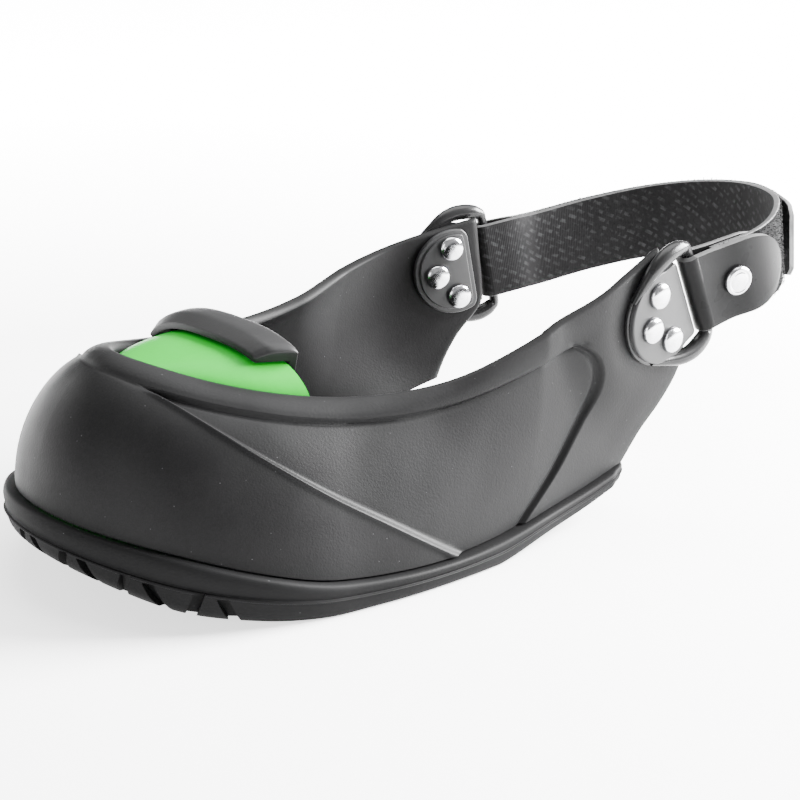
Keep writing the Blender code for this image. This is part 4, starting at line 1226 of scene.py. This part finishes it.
def make_plates(side, satin, glossy):
    """Loop plate with its stepped rim and glossy loop, and the backing plate inside the wing."""
    name = SIDE_NAME[side]
    flange = plate_rings(side, (FLANGE, PLATE_REAR, PLATE_CORNER, PLATE_RADIUS, PLATE_ROUNDING), GAP,
                         FLANGE_TOP, FLANGE_ROUND)
    raised = plate_rings(side, (0.0, PLATE_REAR - PLATE_STEP_REAR, PLATE_CORNER - PLATE_STEP_CORNER,
                                PLATE_RADIUS, PLATE_ROUNDING),
                         FLANGE_TOP - PLATE_STEP, PLATE_TOP, PLATE_ROUND)
    loop = loop_rings(side)
    points, faces = joined([flange, raised, loop])
    slots = [1] * len(faces)
    for number in range(len(loft_faces(*flange.shape[:2])), len(faces) - len(loft_faces(*loop.shape[:2]))):
        slots[number] = 0
    add_piece(f"loop_{name}", points, faces, [satin, glossy], [f"loop_plate_{name}"],
              face_slots=slots)
    inner = -WALL - GAP
    base = plate_rings(side, (0.0, BACKING_REAR, BACKING_CORNER, BACKING_RADIUS, BACKING_ROUNDING), inner,
                       inner - BACKING_BASE, BACKING_ROUND)
    face = plate_rings(side, (-BACKING_INSET, BACKING_REAR - BACKING_INSET, BACKING_CORNER - BACKING_INSET,
                              BACKING_RADIUS, BACKING_ROUNDING), inner, inner - BACKING_THICK, BACKING_ROUND)
    points, faces = joined([base, face])
    add_piece(f"backing_{name}", points, faces, [satin], [f"backing_plate_{name}"])


def round_head():
    """Curve of a flattened dome, as shares of the head's radius and of the dome's height."""
    shares = np.sin(np.linspace(0, math.pi / 2, RIVET_STEPS))
    heights = (1 - shares ** RIVET_POWER) ** (1 / RIVET_POWER)
    return list(zip(np.maximum(shares, RIVET_MIDDLE), heights))


def head_profile(head, curve):
    """Half profile of a rivet's head from its middle to its shank, as radius and level."""
    dome = [(head * out, RIVET_RIM + RIVET_DOME * up) for out, up in curve]
    return dome + [(head, 0.0), (SHANK, 0.0)]


def rivet_rings(centre, axis, profile, low, high):
    """Rings of a turned rivet along an axis through a centre, with a head at each end."""
    first = unit(np.cross(axis, np.array([0.3, 0.2, 0.9])))
    second = np.cross(axis, first)
    angle = np.linspace(0, 2 * math.pi, RIVET_SIDES, endpoint=False)
    circle = np.cos(angle)[:, None] * first + np.sin(angle)[:, None] * second
    ends = [(radius, high + level) for radius, level in profile]
    ends += [(radius, low - level) for radius, level in reversed(profile)]
    return np.array([centre + axis * level + circle * radius for radius, level in ends])


def make_rivets(side, finish):
    out = FRAMES[side][3]
    high = PLATE_TOP + GAP
    low = -WALL - 2 * GAP - BACKING_THICK
    profile = head_profile(RIVET_HEAD, round_head())
    for number, (p, q) in enumerate(RIVET_PLACES, 1):
        rings = rivet_rings(on_plate(side, p, q, 0.0), out, profile, low, high)
        name = f"{SIDE_NAME[side]}_{number}"
        add_loft(f"head_{name}", rings, finish, f"rivet_{name}", RIVET_SHARP)


# Strap and tab
def band(path, axes, half, thick, corner):
    """Rings of a flat band with rounded corners, and each ring point's place across the band."""
    tangent = unit(np.gradient(path, axis=0))
    face = unit(np.cross(tangent, axes))
    share = np.linspace(-1, 1, 9)
    turn = np.linspace(0, math.pi / 2, 4)
    inset = corner * (1 - np.sin(turn))
    drop = corner * (1 - np.cos(turn))
    rings = []
    across = []
    for middle, axis, out, reach in zip(path, axes, face, half):
        top = [(s * (reach - corner), thick / 2) for s in share[:-1]]
        right = [(reach - i, thick / 2 - d) for i, d in zip(inset, drop)]
        quarter = top + right
        section = quarter + [(-a, -t) for a, t in quarter]
        section = np.array(section)
        rings.append(middle + section[:, :1] * axis + section[:, 1:] * out)
        across.append(section[:, 0])
    return np.array(rings), np.array(across)


def band_slots(rows, columns):
    """Slot of each face of a band: 0 on top, 1 underneath, 2 on the edges and ends."""
    half = columns // 2
    top = half - 4
    ring = [0] * top + [2] * (half - top)
    ring = ring + [1] * top + [2] * (half - top)
    return ring * (rows - 1) + [2, 2]


def add_band(name, path, axes, half, thick, corner, finishes, nodes):
    rings, across = band(path, axes, half, thick, corner)
    rows, columns = rings.shape[:2]
    run = np.broadcast_to(run_of(path)[:, None], across.shape)
    strip = np.stack([run, across], -1).reshape(-1, 2)
    slots = band_slots(rows, columns)
    return add_piece(name, rings, loft_faces(rows, columns), finishes, nodes, 50, slots, strip)


def loop_turn(side, radius, first, count=33):
    """Half turn round a loop's bar on its plate side; first is the side of the wing it starts on."""
    angle = np.linspace(-math.pi / 2, math.pi / 2, count) * -first
    rear = LOOP_BAR - radius * np.cos(angle)
    out = LOOP_LEVEL + radius * np.sin(angle)
    return on_plate(side, rear, np.full(count, STRAP_SHIFT[side]), out)


def strap_lines():
    """Middle line, width axes and outward directions of the strap's inner layer."""
    start = on_plate(1, LOOP_BAR, STRAP_SHIFT[1], LOOP_LEVEL)
    level = LOOP_LEVEL - BAR_RADIUS - GAP - STRAP_THICK / 2
    stop = on_plate(-1, LOOP_BAR, STRAP_SHIFT[-1], level)
    near_stop = on_plate(-1, LOOP_BAR + STOP_RUN, STRAP_SHIFT[-1], level)
    route = [np.array([TOE_X - behind, left, height]) for behind, left, height in STRAP_ROUTE]
    path = smooth_path([start] + route + [near_stop, stop])
    middle = resample(path, int(run_of(path)[-1] / STRAP_STEP) + 1)
    place = np.linspace(0, 1, len(middle))[:, None]
    near_left = np.clip(LEFT_HOLD - place * STRAP_TWIST, 0, 1)
    near_right = np.clip(1 - (1 - place) * STRAP_TWIST, 0, 1)
    upright = np.array([0.0, 0.0, 1.0]) * (1 - np.abs(place * 2 - 1)) * 2
    axes = unit(FRAMES[1][2] * near_left + FRAMES[-1][2] * near_right + upright)
    outward = unit(np.cross(axes, unit(np.gradient(middle, axis=0))))
    if outward[len(middle) // 2][0] > 0:
        outward = -outward
    return middle, axes, outward


def make_strap(lines, weave, pile, edge):
    """Strap from the tab round the heel, through the right loop and back to its loose end."""
    middle, axes, outward = lines
    radius = BAR_RADIUS + GAP + STRAP_THICK / 2
    run = run_of(middle)
    begin = int(np.searchsorted(run, STRAP_START))
    layer = STRAP_THICK + LAYER_GAP
    apart = layer + (2 * radius - layer) * np.clip(1 - (run[-1] - run) / LAYER_EASE, 0, 1) ** 2
    flap = int(len(middle) * FLAP_PLACE)
    tail = np.clip(1 - (run - run[flap]) / FLAP_LENGTH, 0, 1)[:, None] ** 2
    outer = middle + outward * (apart[:, None] + tail * FLAP_FLARE)
    outer = outer - tail * FLAP_DROOP * np.array([0.0, 0.0, 1.0])
    turn = loop_turn(-1, radius, -1)
    path = np.concatenate([middle[begin:-1], turn, outer[flap:-1][::-1]])
    width = np.concatenate([axes[begin:-1], np.repeat(axes[-1:], len(turn), 0), axes[flap:-1][::-1]])
    to_end = run_of(path)[-1] - run_of(path)
    half = STRAP_HALF_WIDTH - FLAP_CORNER * (1 - edge_round(to_end, FLAP_CORNER))
    face = np.cross(unit(middle[begin + 1] - middle[begin]), axes[begin])
    top_outside = face @ outward[begin] > 0
    finishes = [pile, weave, edge] if top_outside else [weave, pile, edge]
    add_band("heel_strap", path, width, half, STRAP_THICK, STRAP_ROUND, finishes, ["strap"])


def make_pile(lines, finish):
    """Loose loops on the strap's outer face, as thin open ribbons."""
    middle, axes, outward = lines
    draw = np.random.default_rng(PILE_SEED)
    begin = int(np.searchsorted(run_of(middle), STRAP_START))
    index = draw.integers(begin, len(middle) - PILE_STOP, PILE_TUFTS)
    across = draw.uniform(-1, 1, PILE_TUFTS) * STRAP_HALF_WIDTH
    slip = draw.uniform(-0.5, 0.5, PILE_TUFTS) * STRAP_STEP
    tangent = unit(np.gradient(middle, axis=0))[index]
    up = outward[index]
    base = middle[index] + axes[index] * across[:, None] + tangent * slip[:, None] + up * STRAP_THICK / 2
    angle = draw.uniform(0, 2 * math.pi, PILE_TUFTS)[:, None]
    lean = tangent * np.cos(angle) + axes[index] * np.sin(angle)
    wide = np.cross(up, lean) * PILE_WIDTH / 2
    tall = (PILE_HEIGHT * draw.uniform(PILE_SHORTEST, 1.0, PILE_TUFTS))[:, None]
    room = np.clip((index - len(middle) * FLAP_PLACE) / PILE_FADE, 0, 1)[:, None]
    tall = tall * (1 - room) + np.minimum(tall, LAYER_GAP * PILE_ROOM) * room
    rows = [base + up * tall * rise + lean * reach for rise, reach in PILE_CURVE]
    points = np.stack([point + offset for point in rows for offset in (wide, -wide)], 1)
    faces = []
    for tuft in range(PILE_TUFTS):
        first = tuft * 8
        for k in (0, 2, 4):
            faces.append((first + k, first + k + 1, first + k + 3, first + k + 2))
    add_piece("strap_loops", points, faces, [finish], sharp=80)


def make_tab(lines, leather, edge, steel):
    """Leather tab: two leaves on either side of the strap, folded round the left loop's bar."""
    radius = BAR_RADIUS + GAP + TAB_THICK / 2
    leaf = STRAP_THICK / 2 + GAP + TAB_THICK / 2
    run = run_of(lines[0])
    stations = np.concatenate([np.linspace(TAB_BEGIN, TAB_LENGTH - TAB_ROUND, 40),
                               TAB_LENGTH - TAB_ROUND * np.cos(np.linspace(0, math.pi / 2, 24))[1:]])
    fine, fine_axes, fine_out = (along_run(line, run, stations) for line in lines)
    fine_axes = unit(fine_axes)
    fine_out = unit(fine_out)
    apart = leaf + (radius - leaf) * np.clip(1 - stations / TAB_EASE, 0, 1) ** 2
    outer = fine + fine_out * apart[:, None]
    inner = fine - fine_out * apart[:, None]
    turn = loop_turn(1, radius, 1)
    path = np.concatenate([outer[::-1], turn, inner])
    width = np.concatenate([fine_axes[::-1], np.repeat(lines[1][:1], len(turn), 0), fine_axes])
    past = np.clip(1 - (TAB_LENGTH - stations) / TAB_ROUND, 0, 1)
    wide = TAB_HALF_WIDTH + TAB_FLARE * np.clip(1 - stations / TAB_EASE, 0, 1)
    half = wide * np.sqrt(np.clip(1 - past ** 2, TAB_TIP, 1))
    half = np.concatenate([half[::-1], np.full(len(turn), TAB_HALF_WIDTH + TAB_FLARE), half])
    add_band("leather_tab", path, width, half, TAB_THICK, TAB_EDGE, [leather, leather, edge],
             ["strap_tab"])
    centre = along_run(lines[0], run, TAB_RIVET_AT)
    axis = unit(along_run(lines[2], run, TAB_RIVET_AT))
    level = leaf + TAB_THICK / 2 + GAP
    rings = rivet_rings(centre, axis, head_profile(TAB_RIVET_HEAD, TAB_RIVET_CURVE), -level, level)
    add_loft("head_tab", rings, steel, "tab_rivet", RIVET_SHARP)


# Stage
def facing(right, back, place):
    """World matrix of a camera or light from its right and back directions."""
    rows = [[*axes, at] for axes, at in zip(np.stack([right, np.cross(back, right), back], -1), place)]
    return Matrix([*rows, [0, 0, 0, 1]])


def make_camera():
    """Camera at the photograph's angle, distance and framing."""
    flat = math.cos(CAMERA_RISE)
    back = np.array([math.sin(CAMERA_TURN) * flat, math.cos(CAMERA_TURN) * flat, math.sin(CAMERA_RISE)])
    right = np.array([-math.cos(CAMERA_TURN), math.sin(CAMERA_TURN), 0.0])
    behind, height = CAMERA_TARGET
    place = (np.array([TOE_X - behind, 0.0, height]) + CAMERA_DISTANCE * back) * MM
    data = bpy.data.cameras.new("camera")
    data.sensor_width = SENSOR
    data.lens = CAMERA_PIXELS / FRAME_PIXELS * SENSOR
    data.shift_x = (FRAME_PIXELS / 2 - CAMERA_MIDDLE[0]) / FRAME_PIXELS
    data.shift_y = (CAMERA_MIDDLE[1] - FRAME_PIXELS / 2) / FRAME_PIXELS
    data.clip_start, data.clip_end = CLIP
    camera = bpy.data.objects.new("camera", data)
    camera.matrix_world = facing(right, back, place)
    bpy.context.scene.collection.objects.link(camera)
    bpy.context.scene.camera = camera
    return back, right


def area_light(name, place, size, power, aim=(0.0, 0.0, 0.035)):
    """Soft square light aimed at the shoe; place and size in metres."""
    data = bpy.data.lights.new(name, 'AREA')
    data.shape = 'RECTANGLE'
    data.size, data.size_y = size
    data.energy = power
    item = bpy.data.objects.new(name, data)
    back = unit(np.array(place) - np.array(aim))
    right = unit(np.cross((0.0, 0.0, 1.0) if abs(back[2]) < 0.99 else (0.0, 1.0, 0.0), back))
    item.matrix_world = facing(right, back, place)
    bpy.context.scene.collection.objects.link(item)


def make_stage(back, right):
    """Pale glowing floor with painted shade under the shoe, soft surround and studio lights, placed from the
    camera's own directions.
    """
    mesh = bpy.data.meshes.new("floor")
    reach = FLOOR_REACH
    mesh.from_pydata([(-reach, -reach, 0), (reach, -reach, 0), (reach, reach, 0), (-reach, reach, 0)], [],
                     [(0, 1, 2, 3)])
    floor, tree, shader = principled("floor", FLOOR_COLOUR, 0.6, Specular_IOR_Level=0.2)
    shader.inputs["Emission Color"].default_value = (1, 1, 1, 1)
    # The floor glows less near the shoe: painted shade under it, rising to the even glow beyond
    away = tree.nodes.new("ShaderNodeVectorMath")
    away.operation = 'LENGTH'
    tree.links.new(tree.nodes.new("ShaderNodeTexCoord").outputs["Object"], away.inputs[0])
    glow = tree.nodes.new("ShaderNodeMapRange")
    for socket, value in zip(("From Min", "From Max", "To Min", "To Max"), FLOOR_RISE + FLOOR_GLOW_AND_PAINTED_SHADE):
        glow.inputs[socket].default_value = value
    tree.links.new(away.outputs["Value"], glow.inputs["Value"])
    tree.links.new(glow.outputs["Result"], shader.inputs["Emission Strength"])
    mesh.materials.append(floor)
    item = bpy.data.objects.new("floor", mesh)
    item.location.z = -FLOOR_DROP
    bpy.context.scene.collection.objects.link(item)
    world = bpy.data.worlds.new("surround")
    world.use_nodes = True
    sky = world.node_tree.nodes["Background"]
    sky.inputs["Color"].default_value = (1, 1, 1, 1)
    sky.inputs["Strength"].default_value = SURROUND
    bpy.context.scene.world = world
    ahead = unit(back * (1, 1, 0))
    for name, to_right, to_camera, up, wide, tall, power in LIGHTS:
        place = right * to_right + ahead * to_camera + np.array([0, 0, up])
        area_light(name, place, (wide, tall), power)


for old in list(bpy.data.objects):
    bpy.data.objects.remove(old, do_unlink=True)
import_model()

WALL_RUBBER = rubber("wall_rubber", 0.0038, 0.0056, (0.44, 0.56), 0.4, 0.05, 0.06)
SOLE_RUBBER = rubber("sole_rubber", 0.0034, 0.005, (0.5, 0.62), 0.35, 0.06, 0.04)
BUMPER_RUBBER = rubber("bumper_rubber", 0.006, 0.009, (0.42, 0.5), 0.2, 0.03, 0.14)
SATIN = moulded_plastic("satin_plastic", 0.012, 0.018, (0.36, 0.44), 0.2)
GLOSSY = moulded_plastic("glossy_plastic", 0.0045, 0.0065, (0.24, 0.32), 0.18)
STEEL = bright_steel()
LEATHER = black_leather()
PILE = strap_pile()

make_upper(WALL_RUBBER)
make_sole(SOLE_RUBBER)
make_cap(green_paint())
make_bumper(BUMPER_RUBBER)
for which in (1, -1):
    make_plates(which, SATIN, GLOSSY)
    make_rivets(which, STEEL)
strap = strap_lines()
make_strap(strap, strap_weave(), PILE, edge_core_and_highlight("strap_edge", 0.005, 0.02))
make_pile(strap, PILE)
make_tab(strap, LEATHER, edge_core_and_highlight("leather_edge", 0.004, 0.016), STEEL)

make_stage(*make_camera())
